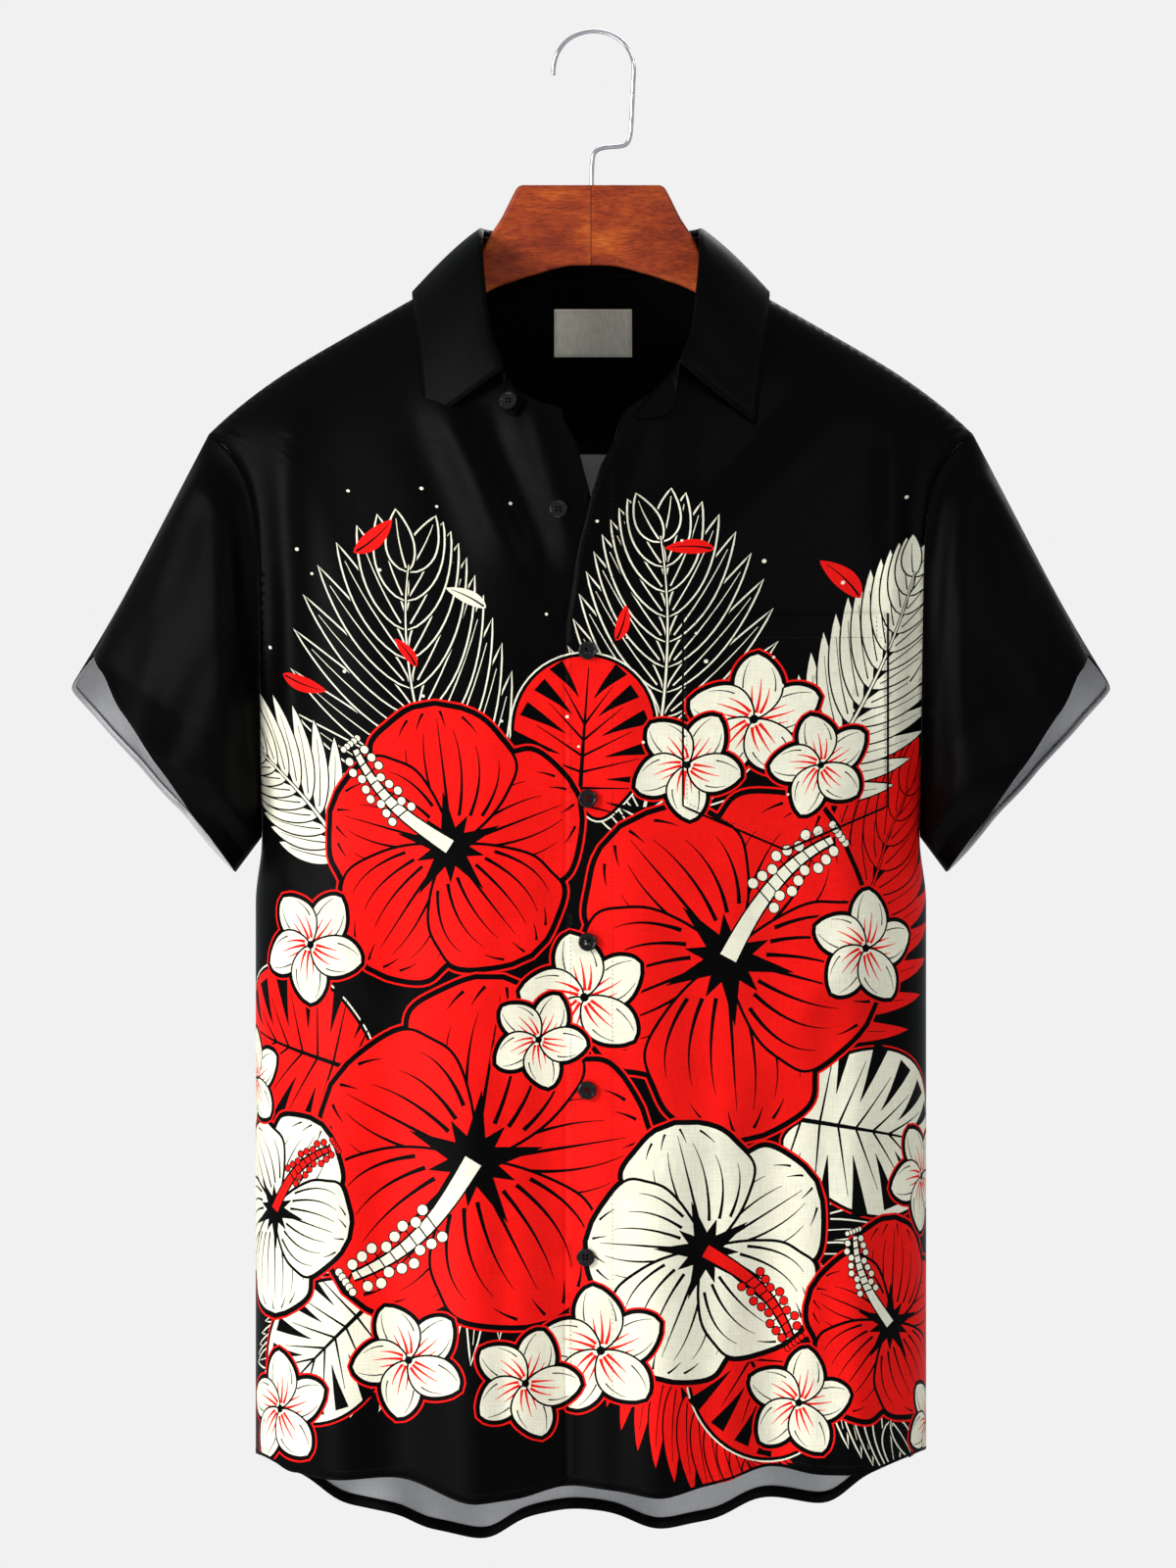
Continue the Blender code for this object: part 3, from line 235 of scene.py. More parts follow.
UNDER_TAB = ((48.6, -215.0, 54.5, -221.0), (44.5, -219.5, 54.0, -231.5),
             (40.8, -222.8, 46.5, -234.5))
TAB_LIFT = 2.0
STAND_TOP_GAP = 2.4
LEAF_START = 2.0
LEAF_ROLL_RADIUS = 2.1
LEAF_ROLL_STEPS = 6
LEAF_INSET = 0.9             # of the roll's start, behind the fold
LEAF_BULGE = 1.5
LEAF_ROWS = 15
COLLAR_FINE = 5
STAND_LAYERS = 1.0
LEAF_LAYERS = 1.3

POCKET_LEFT_X = 57.0
POCKET_RIGHT_X = 181.0
POCKET_MIDDLE_X = (POCKET_LEFT_X + POCKET_RIGHT_X) / 2.0
POCKET_TOP_Z = -355.0
POCKET_CORNER_Z = -472.8
POCKET_TIP_Z = -499.2
POCKET_GAP = 0.9
POCKET_GRID = (40, 41)       # rows and columns
POCKET_SHADOW_STRIP = ((-1.5, 1.1), (-0.2, 1.1), (0.7, 0.95), (1.4, 0.4))   # out of its edge, lift; a black strip of painted shadow round the pocket

LABEL_CENTRE = (1.3, -182.1)
LABEL_SIZE = (48.6, 29.4)
LABEL_LIFT = CLOTH + SEAM_GAP + FACING_CLOTH + 0.7

# Hanger
WIRE_RADIUS = 1.35
HOOK_LINE = (
    # x, z along the wire, from its free end to inside the wood
    (-23.2, -25.2), (-22.6, -18.5), (-20.6, -11.8), (-16.2, -5.4), (-10.0, -0.9), (-2.6, 1.5),
    (4.4, 1.7), (11.6, 0.1), (18.0, -3.6), (22.8, -8.8), (25.6, -15.2), (26.3, -22.0),
    (25.9, -31.0), (25.4, -42.0), (24.8, -54.6), (24.1, -62.0), (22.4, -66.6), (19.0, -68.4),
    (13.2, -69.0), (7.6, -69.6), (3.6, -71.2), (1.5, -74.4), (0.9, -79.0), (0.6, -86.0),
    (0.5, -96.0), (0.4, -104.5),
)
BAR_THICKNESS = 12.0
BAR_ROUNDING = 2.4
BAR_CLEARANCE = 4.2          # under the shoulder line
JOINT_SPARE = 4.0
JOINT_GAP = -0.02
BAR_TOP = (
    # x, z of the upper edge, from the middle to where the shirt covers it
    (42.0, -92.4), (45.5, -94.5), (50.5, -104.0), (54.5, -112.0), (59.0, -119.0),
    (63.5, -126.0), (66.3, -132.0), (69.0, -137.0),
)
BAR_UNDER = (
    # x, z of the lower edge
    (0.0, -141.6), (15.0, -142.2), (30.0, -146.0), (46.0, -151.0), (65.0, -159.0),
    (105.0, -186.0), (150.0, -213.0), (190.0, -234.0), (212.0, -247.0),
)
BAR_COVERED_X = (72.0, 90.0, 110.0, 135.0, 160.0, 185.0, 205.0, 217.0)
BAR_END = ((224.0, -241.0), (221.0, -248.0))

# Sewing
STITCH_PITCH = 2.7
STITCH_LENGTH = 1.9
STITCH_RADIUS = 0.2
STITCH_ABOVE = STITCH_RADIUS * 0.3
TAB_STITCHES = (1.9, 1.4, 0.17)     # pitch, length, radius
LABEL_STITCHES = (1.9, 1.2, 0.16)
HEM_WIDTH = 6.5
SLEEVE_HEM_WIDTH = 2.6
HEM_DEPTH = 1.75             # of the turned hem, behind the cloth's outer side
HEM_FOLD = (
    # up from the edge, out from the cloth's outer side, of a turned hem
    (1.6, 0.03), (0.5, 0.10), (-0.25, -0.05), (-0.50, -0.55), (-0.25, -1.05), (0.6, -1.25),
    (3.4, -1.30), (1.0, -1.30),
)
HEM_STITCH = 5.0             # rows of stitches, from the edge beside them
EDGE_STITCH = 3.2
LEAF_STITCH = 5.0
POCKET_STITCH = 1.4
LABEL_STITCH = 1.7
PLACKET_X = 13.2
PLACKET_TOP_Z = -268.0
POCKET_HEM_Z = -370.2
CORNER_TACK = 5.0
TAB_ROW = ((53.6, -208.0), (49.6, -213.0), (43.0, -219.6), (37.8, -225.2), (33.4, -230.4),
           (31.6, -233.0), (39.0, -233.3), (46.0, -231.0), (49.8, -225.4), (51.8, -218.0))
BUTTONHOLE = (((46.0, -218.8), (42.2, -224.2)), ((47.4, -219.8), (43.6, -225.2)))
UNDER_FACING_ROW = ((-35.0, -238.0), (-34.0, -245.0), (-30.0, -268.0), (-25.0, -286.5),
                    (-20.5, -306.0), (-18.0, -330.0))

# How finely the cloth is divided
FRONT_ROWS = 132
BACK_ROWS = 112
YOKE_ROWS = 30
COLUMNS_PER_STRIP = 3
SLEEVE_ROWS = 64
SLEEVE_PER_STRIP = 6


def mix(start, end, share):
    return start + (end - start) * share


def smoothstep(share):
    share = np.clip(share, 0.0, 1.0)
    return share * share * (3.0 - 2.0 * share)


def sorted_columns(rows, column):
    table = np.array(rows if rows[0][0] < rows[-1][0] else rows[::-1])
    return table[:, 0], table[:, column]


def straight(rows, place):
    """A table's second column, read at a place of its first one along straight lines."""
    return np.interp(place, *sorted_columns(rows, 1))


def rolling(rows, place, column=1):
    """A table's column, read at a place of its first one along soft waves."""
    places, values = sorted_columns(rows, column)
    place = np.clip(place, places[0], places[-1])
    low = np.clip(np.searchsorted(places, place, side="right") - 1, 0, len(places) - 2)
    share = smoothstep((place - places[low]) / (places[low + 1] - places[low]))
    return mix(values[low], values[low + 1], share)


def hem_z(flutes, x):
    """Height of the hem, its waves rounded off."""
    spread = HEM_SOFTNESS * np.linspace(-2.4, 2.4, 13)
    weight = np.exp(-0.5 * (spread / HEM_SOFTNESS) ** 2)
    around = np.asarray(x, float)[..., None] + spread
    return (rolling(flutes, around, 2) * weight).sum(axis=-1) / weight.sum()


def smooth_line(points, steps):
    """A curve through all the points, each stretch divided into equal steps."""
    points = np.array(points, float)
    before = np.vstack([2.0 * points[0] - points[1], points[:-2]])
    after = np.vstack([points[2:], 2.0 * points[-1] - points[-2]])
    line = []
    for a, b, c, d in zip(before, points[:-1], points[1:], after):
        for step in range(steps):
            t = step / steps
            line.append(0.5 * (2.0 * b + (c - a) * t + (2.0 * a - 5.0 * b + 4.0 * c - d) * t ** 2
                               + (3.0 * b - a - 3.0 * c + d) * t ** 3))
    line.append(points[-1])
    return np.array(line)


def smooth_rows(rows, place, column=1):
    """A table's column, read at a place of its first column along a smooth curve."""
    line = smooth_line([(row[0], row[column]) for row in rows], 12)
    return np.interp(place, line[:, 0], line[:, 1])


def shoulder_z(x):
    x = np.abs(x)
    rounding = np.maximum(0.0, (x - SHOULDER_ROUND_X) / SHOULDER_ROUND_RUN) ** 3
    rise = np.maximum(0.0, (NECK_RISE_X - np.maximum(x, 66.0)) / NECK_RISE_RUN) ** 2
    return SHOULDER_TOP_Z - SHOULDER_SLOPE * x - SHOULDER_ROUND_DROP * rounding + NECK_RISE * rise


ARMHOLE_TOP_Z = float(shoulder_z(SHOULDER_X))


def ridge_share(below):
    left = 1.0 - np.clip(below / RIDGE_RUN, 0.0, 1.0)
    return (1.0 - left ** RIDGE_POWER) ** (1.0 / RIDGE_POWER)


def side_edge(z):
    """Where a body piece ends at its side: x, and the distance from the hanger plane."""
    z = np.asarray(z, float)
    lift = np.clip((z - UNDERARM_Z) / (ARMHOLE_TOP_Z - UNDERARM_Z), 0.0, 1.0)
    armhole_x = ARMHOLE_X + ARMHOLE_LEAN * lift + ARMHOLE_FLARE * lift ** ARMHOLE_FLARE_POWER
    side_x = mix(ARMHOLE_X, HALF_WIDTH, smoothstep((UNDERARM_Z - z) / UNDERARM_EASE))
    depth = ARMHOLE_DEPTH * 2.0 * np.sqrt(lift * (1.0 - lift))
    return np.where(z < UNDERARM_Z, side_x, armhole_x), np.where(z < UNDERARM_Z, 0.0, depth)


def raw_section_width(z, depth):
    z = np.minimum(z, ARMHOLE_TOP_Z)
    x, edge = side_edge(z)
    full = depth * ridge_share(shoulder_z(x) - z)
    share = np.where(full > 1.0, np.minimum(edge / np.maximum(full, 1.0), ARMHOLE_EDGE_SHARE),
                     ARMHOLE_EDGE_SHARE)
    return x / (1.0 - share ** SECTION_POWER) ** (1.0 / SECTION_POWER)


_levels = np.arange(-960.0, -60.0, 1.0)
_reach = np.arange(-40.0, 41.0)
_weights = np.exp(-(_reach / 14.0) ** 2)
_widths = {}
for _depth in (FRONT_DEPTH, BACK_DEPTH):
    _raw = raw_section_width(_levels, _depth)
    _soft = np.convolve(np.pad(_raw, 40, mode="edge"), _weights / _weights.sum(), mode="valid")
    _widths[_depth] = mix(_raw, _soft, smoothstep((_levels + 450.0) / 60.0))


def section_width(z, depth):
    """Half width of the body's section, evened out near the shoulder."""
    return np.interp(z, _levels, _widths[depth])


def crease_height(folds, x, z):
    """Sum of rounded folds along straight lines, seen from the front."""
    total = np.zeros(np.broadcast(x, z).shape)
    for start_x, start_z, end_x, end_z, out, half_width in folds:
        along_x, along_z = end_x - start_x, end_z - start_z
        length = math.hypot(along_x, along_z)
        share = ((x - start_x) * along_x + (z - start_z) * along_z) / length ** 2
        past_end = np.maximum(np.maximum(-share, share - 1.0), 0.0) * length
        across = ((x - start_x) * along_z - (z - start_z) * along_x) / length
        total += out * np.exp(-(across / half_width) ** 2 - (past_end / FOLD_END) ** 2)
    return total


def fold_height(folds, x, z):
    to_side = smoothstep((side_edge(z)[0] - np.abs(x)) / FOLD_EDGE)
    return crease_height(folds, x, z) * to_side * smoothstep((shoulder_z(x) - z) / FOLD_RIDGE)


def body_depth(x, z, face):
    """Distance of the surface from the hanger plane; face is -1 for front, 1 for back."""
    depth, flutes, folds = BACK_DEPTH, BACK_FLUTES, BACK_FOLDS
    if face < 0:
        depth, flutes, folds = FRONT_DEPTH, FRONT_FLUTES, FRONT_FOLDS
    across = np.minimum(np.abs(x) / section_width(z, depth), 1.0)
    section = (1.0 - across ** SECTION_POWER) ** (1.0 / SECTION_POWER)
    plain = depth * ridge_share(shoulder_z(x) - z) * section
    grown_in = smoothstep((FLUTE_TOP_Z - z) / (FLUTE_TOP_Z - SIDE_HEM_Z))
    faint = smoothstep((FLUTE_FAINT_Z - z) / (FLUTE_FAINT_Z - FLUTE_TOP_Z))
    flute = rolling(flutes, x) * mix(FLUTE_FAINT * faint, 1.0, grown_in)
    edge_x, edge_depth = side_edge(z)
    edge_across = np.minimum(edge_x / section_width(z, depth), 1.0)
    edge_section = (1.0 - edge_across ** SECTION_POWER) ** (1.0 / SECTION_POWER)
    pull = edge_depth - depth * ridge_share(shoulder_z(edge_x) - z) * edge_section
    pull = np.where(z < UNDERARM_Z, 0.0, pull) * np.exp(-((edge_x - np.abs(x)) / 9.0) ** 2)
    return plain + flute + fold_height(folds, x, z) + pull


def on_body(x, z, face, lift=0.0):
    x, z = np.asarray(x, float), np.asarray(z, float)
    return np.stack([x, face * (body_depth(x, z, face) + lift), z], axis=-1)


def no_lift(x):
    return 0.0


def lap_lift(x):
    return LAP_LIFT * (1.0 - smoothstep((x - LAP_EDGE_X) / LAP_FADE))


def ring_height(step):
    angle = np.pi * (np.minimum(step, ARMHOLE_STEPS) / ARMHOLE_STEPS) ** ARMHOLE_STEP_POWER
    return mix(UNDERARM_Z, ARMHOLE_TOP_Z, 0.5 + 0.5 * np.cos(angle)), angle


def side_height(step):
    """Height of a row at the side of a body piece, from the shoulder point to the hem."""
    below = np.maximum(step - ARMHOLE_STEPS, 0.0) / SIDE_STEPS
    return np.where(step <= ARMHOLE_STEPS, ring_height(step)[0], mix(UNDERARM_Z, SIDE_HEM_Z, below))


def column_share(top_share, hem_share, down):
    soon, late = COLUMN_SPREAD
    return mix(top_share, hem_share, 1.0 - (1.0 - down ** soon) ** late)


def section_share(turn):
    return mix(turn, np.sin(turn * np.pi / 2.0), SIDE_CROWDING)


# Arc length along the body's section, so that a print or a weave lies flat on it
_turn = np.linspace(0.0, np.pi / 2.0, 4000)
_arc_x = np.sin(_turn) ** (2.0 / SECTION_POWER)
_arc_y = np.cos(_turn) ** (2.0 / SECTION_POWER)
_arc = np.concatenate([[0.0], np.cumsum(np.hypot(np.diff(_arc_x) * HALF_WIDTH,
                                                 np.diff(_arc_y) * FRONT_DEPTH))])


def flat_across(x, z, depth=FRONT_DEPTH):
    """Distance from the centre line along the cloth."""
    share = np.minimum(np.abs(x) / section_width(z, depth), 1.0)
    return np.sign(x) * np.interp(share, _arc_x, _arc)


def unflat_across(s, z, depth=FRONT_DEPTH):
    return np.sign(s) * np.interp(np.abs(s), _arc, _arc_x) * section_width(z, depth)


def linked(name, data):
    thing = bpy.data.objects.new(name, data)
    bpy.context.scene.collection.objects.link(thing)
    return thing


def riding(thing):
    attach(thing, "root")
    return thing


def make_shell(name, slot, points, faces, flat, materials, thickness=CLOTH, inks=None):
    """A thin shell on the given outer surface. flat is each point's place on the flat cloth."""
    mesh = bpy.data.meshes.new(name)
    mesh.from_pydata((np.asarray(points) * MM).tolist(), [], [list(face) for face in faces])
    layer = mesh.uv_layers.new(name="flat")
    corners = np.empty(len(mesh.loops), int)
    mesh.loops.foreach_get("vertex_index", corners)
    layer.data.foreach_set("uv", (np.asarray(flat)[corners] * MM).ravel())
    if inks is not None:
        colours = mesh.color_attributes.new(name="print", type="FLOAT_COLOR", domain="CORNER")
        sizes = np.array([len(face) for face in faces])
        colours.data.foreach_set("color", np.repeat(INK_COLOURS[inks], sizes, axis=0).ravel())
    mesh.shade_smooth()
    thing = linked(name, mesh)
    for material in materials:
        mesh.materials.append(material)
    shell = thing.modifiers.new("thickness", "SOLIDIFY")
    shell.thickness = thickness * MM
    shell.offset = -1.0
    shell.use_quality_normals = True
    if len(materials) > 1:
        shell.material_offset = 1
    return riding(thing)


def make_cloth(node, *surface, **more):
    """The thin shell that stands for a cloth node."""
    thing = make_shell("cloth_" + node, SLOTS[node], *surface, **more)
    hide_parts(node)
    return thing


def as_grid(points, flat, closed=False, flip=False):
    """Points, faces and flat places of a grid of points."""
    rows, columns = points.shape[:2]
    faces = []
    for i in range(rows - 1):
        for j in range(columns if closed else columns - 1):
            a, b = i * columns + j, i * columns + (j + 1) % columns
            c, d = a + columns, b + columns
            faces.append((a, b, d, c) if flip else (a, c, d, b))
    return points.reshape(-1, 3), faces, flat.reshape(-1, 2)


def inside_polygon(outline, x, y):
    """Whether points lie in a closed outline."""
    inside = np.zeros(len(x), bool)
    ends = np.roll(outline, -1, axis=0)
    for (x0, y0), (x1, y1) in zip(outline, ends):
        if y0 == y1:
            continue
        crosses = (y0 > y) != (y1 > y)
        inside ^= crosses & (x < (x1 - x0) * (y - y0) / (y1 - y0) + x0)
    return inside


PRINT_SNAP = 0.1             # corners of the print nearer than this become one


def inks_at(places, shapes):
    """Ink of the topmost shape over each place."""
    found = np.zeros(len(places), int)
    order = np.argsort(places[:, 0])
    sorted_x = places[order, 0]
    for polygon, ink in shapes:
        low, high = polygon.min(axis=0), polygon.max(axis=0)
        first, last = np.searchsorted(sorted_x, (low[0], high[0]))
        near = order[first:last]
        near = near[(places[near, 1] >= low[1]) & (places[near, 1] <= high[1])]
        if len(near):
            found[near[inside_polygon(polygon, places[near, 0], places[near, 1])]] = ink
    return found


def triangulated(coords, edges):
    made, _, triangles, _, _, _ = delaunay_2d_cdt([Vector(place) for place in coords], edges, [],
                                                  0, 1e-4)
    return np.array([tuple(place) for place in made]), np.array([list(face) for face in triangles])


def printed_mesh(outline, inner, shapes):
    """Triangles over an outline that follow the edges of the printed shapes.
    Returns the points, the triangles and each triangle's ink."""
    low, high = outline.min(axis=0), outline.max(axis=0)
    shapes = [(polygon, ink) for polygon, ink in shapes
              if (polygon.max(axis=0) > low).all() and (polygon.min(axis=0) < high).all()]
    rim = [(k, (k + 1) % len(outline)) for k in range(len(outline))]
    coords, edges = [outline], list(rim)
    count = len(outline)
    for polygon, _ in shapes:
        size = len(polygon)
        edges += [(count + k, count + (k + 1) % size) for k in range(size)]
        coords.append(polygon)
        count += size
    if shapes:
        made, triangles = triangulated(np.concatenate(coords), edges)
        inks = inks_at(made[triangles].mean(axis=1), shapes)
        sides = np.sort(np.concatenate([triangles[:, [0, 1]], triangles[:, [1, 2]],
                                        triangles[:, [2, 0]]]), axis=1)
        owners = np.tile(np.arange(len(triangles)), 3)
        order = np.lexsort((sides[:, 1], sides[:, 0]))
        sides, owners = sides[order], owners[order]
        paired = np.nonzero((sides[1:] == sides[:-1]).all(axis=1))[0]
        apart = paired[inks[owners[paired]] != inks[owners[paired + 1]]]
        borders = sides[apart]
        used, places = np.unique(borders, return_inverse=True)
        snapped, merged = np.unique(np.round(made[used] / PRINT_SNAP).astype(int), axis=0,
                                    return_inverse=True)
        borders = merged.ravel()[places.reshape(borders.shape)]
        borders = borders[borders[:, 0] != borders[:, 1]]
        start = len(outline) + len(inner)
        coords = np.concatenate([outline, inner, snapped * PRINT_SNAP])
        edges = rim + [(start + a, start + b) for a, b in borders.tolist()]
    else:
        coords, edges = np.concatenate([outline, inner]), rim
    made, triangles = triangulated(coords, edges)
    centres = made[triangles].mean(axis=1)
    kept = inside_polygon(outline, centres[:, 0], centres[:, 1])
    return made, triangles[kept].tolist(), inks_at(centres[kept], shapes)


BLACK_DYE = (0.0009, 0.0009, 0.0010)
BLACK_INK = 0
RED_INK = 1
CREAM_INK = 2
INK_COLOURS = np.array([
    (*BLACK_DYE, 1.0),
    (0.80, 0.008, 0.006, 1.0),
    (0.82, 0.79, 0.62, 1.0),
])


# The print of flowers and leaves, drawn on the flat cloth
GAP_INK = 2.4                # black gap between a flower and the thin line round it
HALO_INK = 1.3               # width of that thin line
LEAFLETS = 13                # on each side of a palm leaf


def turned(points, angle, place=(0.0, 0.0)):
    c, s = math.cos(angle), math.sin(angle)
    return points @ np.array(((c, s), (-s, c))) + np.array(place)


def grown(polygon, distance):
    """The outline moved out along its normals; inwards when distance is below zero."""
    along = np.roll(polygon, -1, axis=0) - np.roll(polygon, 1, axis=0)
    out = np.stack([along[:, 1], -along[:, 0]], axis=1)
    out /= np.maximum(np.linalg.norm(out, axis=1, keepdims=True), 1e-6)
    area = 0.5 * np.sum(polygon[:, 0] * np.roll(polygon[:, 1], -1)
                        - np.roll(polygon[:, 0], -1) * polygon[:, 1])
    return polygon + out * distance * (1.0 if area > 0.0 else -1.0)


def stroke(line, widths):
    """A brush stroke: a closed outline round a line, with the width at each of its points."""
    line = np.asarray(line, float)
    along = np.gradient(line, axis=0)
    across = np.stack([-along[:, 1], along[:, 0]], axis=1)
    across /= np.maximum(np.linalg.norm(across, axis=1, keepdims=True), 1e-6)
    half = np.asarray(widths, float)[:, None] / 2.0
    return np.concatenate([line - across * half, (line + across * half)[::-1]])


def dot(place, radius, sides):
    angle = np.arange(sides) * 2.0 * np.pi / sides
    return np.stack([place[0] + radius * np.cos(angle), place[1] + radius * np.sin(angle)], axis=1)


def brush(line, start, end):
    """A stroke whose width changes evenly from start to end."""
    return stroke(line, np.linspace(start, end, len(line)))


def ringed_dot(place, radius, sides, ink):
    return [(dot(place, radius + 0.7, sides), BLACK_INK), (dot(place, radius, sides), ink)]


class Blade:
    """A petal or leaflet that grows out from a place."""

    def __init__(self, place, turn, length, width, bulge, fullness, lean, points, ruffle=0.0,
                 phase=0.0):
        self.place, self.turn, self.length = place, turn, length
        t = self.t = np.linspace(0.0, 1.0, points)
        self.half = width / 2.0 * np.sin(np.pi * t ** bulge) ** fullness
        self.middle = lean * length * t ** 2
        wave = ruffle * np.sin(t * 17.0 + phase) * t ** 2
        wave_low = ruffle * np.sin(t * 15.0 + phase * 1.7 + 2.0) * t ** 2
        top = np.stack([length * t, self.middle + self.half * (1.0 + wave)], axis=1)
        low = np.stack([length * t, self.middle - self.half * (1.0 + wave_low)], axis=1)
        self.outline = turned(np.concatenate([low, top[-2:0:-1]]), turn, place)

    def vein(self, start, end, steps, widths, share=0.0):
        """A stroke along the blade, off its middle by a share of its half width."""
        t = np.linspace(start, end, steps)
        across = np.interp(t, self.t, self.middle) + share * np.interp(t, self.t, self.half)
        line = np.stack([self.length * t, across], axis=1)
        return brush(turned(line, self.turn, self.place), *widths)


def hibiscus(x, z, size, turn, ink, stem_turn):
    """A five-petalled bloom with a long column of stamens, size is its radius."""
    petals = [Blade((x, z), turn + k * 2.0 * math.pi / 5.0,
                    size * (1.0 + 0.07 * math.sin(k * 2.3 + turn)), size * 1.02, 1.32, 0.55, 0.05,
                    34, 0.09, k * 1.9 + turn) for k in range(5)]
    shapes = [(grown(petal.outline, GAP_INK + HALO_INK), RED_INK) for petal in petals]
    shapes += [(grown(petal.outline, GAP_INK), BLACK_INK) for petal in petals]
    for k, petal in enumerate(petals):
        shapes += [(grown(petal.outline, 0.9), BLACK_INK), (grown(petal.outline, -0.9), ink)]
        for share in (-0.78, -0.5, -0.24, 0.02, 0.27, 0.53, 0.8):
            reach = 0.86 - 0.26 * abs(share) + 0.05 * math.sin(share * 20.0 + k)
            shapes.append((petal.vein(0.22, reach, 12, (size * 0.026, 0.35), share), BLACK_INK))
        for share, reach in ((-0.62, 0.93), (-0.12, 0.97), (0.4, 0.95), (0.66, 0.9)):
            shapes.append((petal.vein(reach - 0.13, reach - 0.015, 6, (0.35, size * 0.02), share),
                           BLACK_INK))
    for k in range(10):
        line = np.zeros((7, 2))
        line[:, 0] = np.linspace(0.0, size * (0.26 if k % 2 else 0.40), 7)
        line = turned(line, turn + (k + 0.15) * math.pi / 5.0, (x, z))
        shapes.append((brush(line, size * 0.16, 0.4), BLACK_INK))
    steps = np.linspace(0.0, 1.0, 16)
    column = turned(np.stack([size * 0.95 * steps, size * 0.16 * np.sin(steps * 2.4)], axis=1),
                    stem_turn, (x, z))
    other = CREAM_INK if ink == RED_INK else RED_INK
    shapes += [(stroke(column, np.linspace(size * 0.105, size * 0.05, 16) + 2.0), BLACK_INK),
               (brush(column, size * 0.105, size * 0.04), other)]
    for k in range(16):
        share = (0.42 + 0.58 * (k // 2) / 7.5) * 15
        low = int(share)
        centre = column[low] + (column[min(low + 1, 15)] - column[low]) * (share - low)
        away = size * (0.085 if k % 2 else -0.085) * (1.0 + 0.25 * math.sin(k * 2.1))
        tip = centre + turned(np.array([[0.0, away]]), stem_turn)[0]
        shapes.append((stroke(np.linspace(centre, tip, 3), (0.9, 0.9, 0.9)), BLACK_INK))
        shapes += ringed_dot(tip, size * 0.030, 10, other)
    for k in range(5):
        away = np.array([[size * 0.055, size * 0.035 * (k - 2)]])
        shapes += ringed_dot(column[-1] + turned(away, stem_turn)[0], size * 0.022, 8, other)
    return shapes


def plumeria(x, z, size, turn):
    """A small cream bloom of five swept petals."""
    petals = [Blade((x, z), turn + k * 2.0 * math.pi / 5.0, size, size * 0.74, 1.05, 0.62, 0.14, 20)
              for k in range(5)]
    shapes = [(grown(petal.outline, 2.0 + HALO_INK * 0.9), RED_INK) for petal in petals]
    shapes += [(grown(petal.outline, 2.0), BLACK_INK) for petal in petals]
    for petal in petals:
        shapes += [(grown(petal.outline, 0.5), BLACK_INK), (grown(petal.outline, -0.7), CREAM_INK)]
        for share, reach in ((-0.45, 0.5), (-0.1, 0.62), (0.25, 0.5)):
            shapes.append((petal.vein(0.1, reach, 8, (size * 0.055, 0.3), share), RED_INK))
        for share, reach in ((0.62, 0.88), (-0.7, 0.8)):
            shapes.append((petal.vein(0.45, reach, 8, (0.9, 0.3), share), BLACK_INK))
    return shapes + [(dot((x, z), size * 0.07, 10), BLACK_INK)]


def palm_frond(x, z, length, turn, bend, style):
    """A feathered leaf; style is the ink of solid leaflets, or None for drawn lines."""
    steps = np.linspace(0.0, 1.0, 30)
    heading = turn + bend * steps
    rib = np.concatenate([[[0.0, 0.0]], np.cumsum(np.stack(
        [np.cos(heading), np.sin(heading)], axis=1)[:-1] * length / 29.0, axis=0)]) + (x, z)
    shapes = []
    for k in range(LEAFLETS):
        share = 0.12 + 0.86 * k / (LEAFLETS - 1)
        low = min(int(share * 29), 28)
        place = rib[low] + (rib[low + 1] - rib[low]) * (share * 29 - low)
        reach = length * 0.42 * math.sin(math.pi * (0.22 + 0.70 * share)) ** 0.8
        for side in (-1, 1):
            leaf = Blade(place, turn + bend * share + side * mix(1.15, 0.42, share), reach,
                         length * 0.055 + 3.0, 0.8, 0.8, -side * 0.16, 13)
            shapes.append((grown(leaf.outline, 1.0), BLACK_INK))
            if style is None:
                shapes += [(leaf.outline, CREAM_INK), (grown(leaf.outline, -1.0), BLACK_INK),
                           (leaf.vein(0.08, 0.85, 7, (1.0, 0.4)), CREAM_INK)]
            else:
                shapes += [(leaf.outline, style),
                           (leaf.vein(0.1, 0.8, 7, (0.9, 0.35)), BLACK_INK)]
    return shapes + [(brush(rib, 4.6, 1.6), BLACK_INK),
                     (brush(rib, 2.4, 0.6), CREAM_INK if style is None else style)]


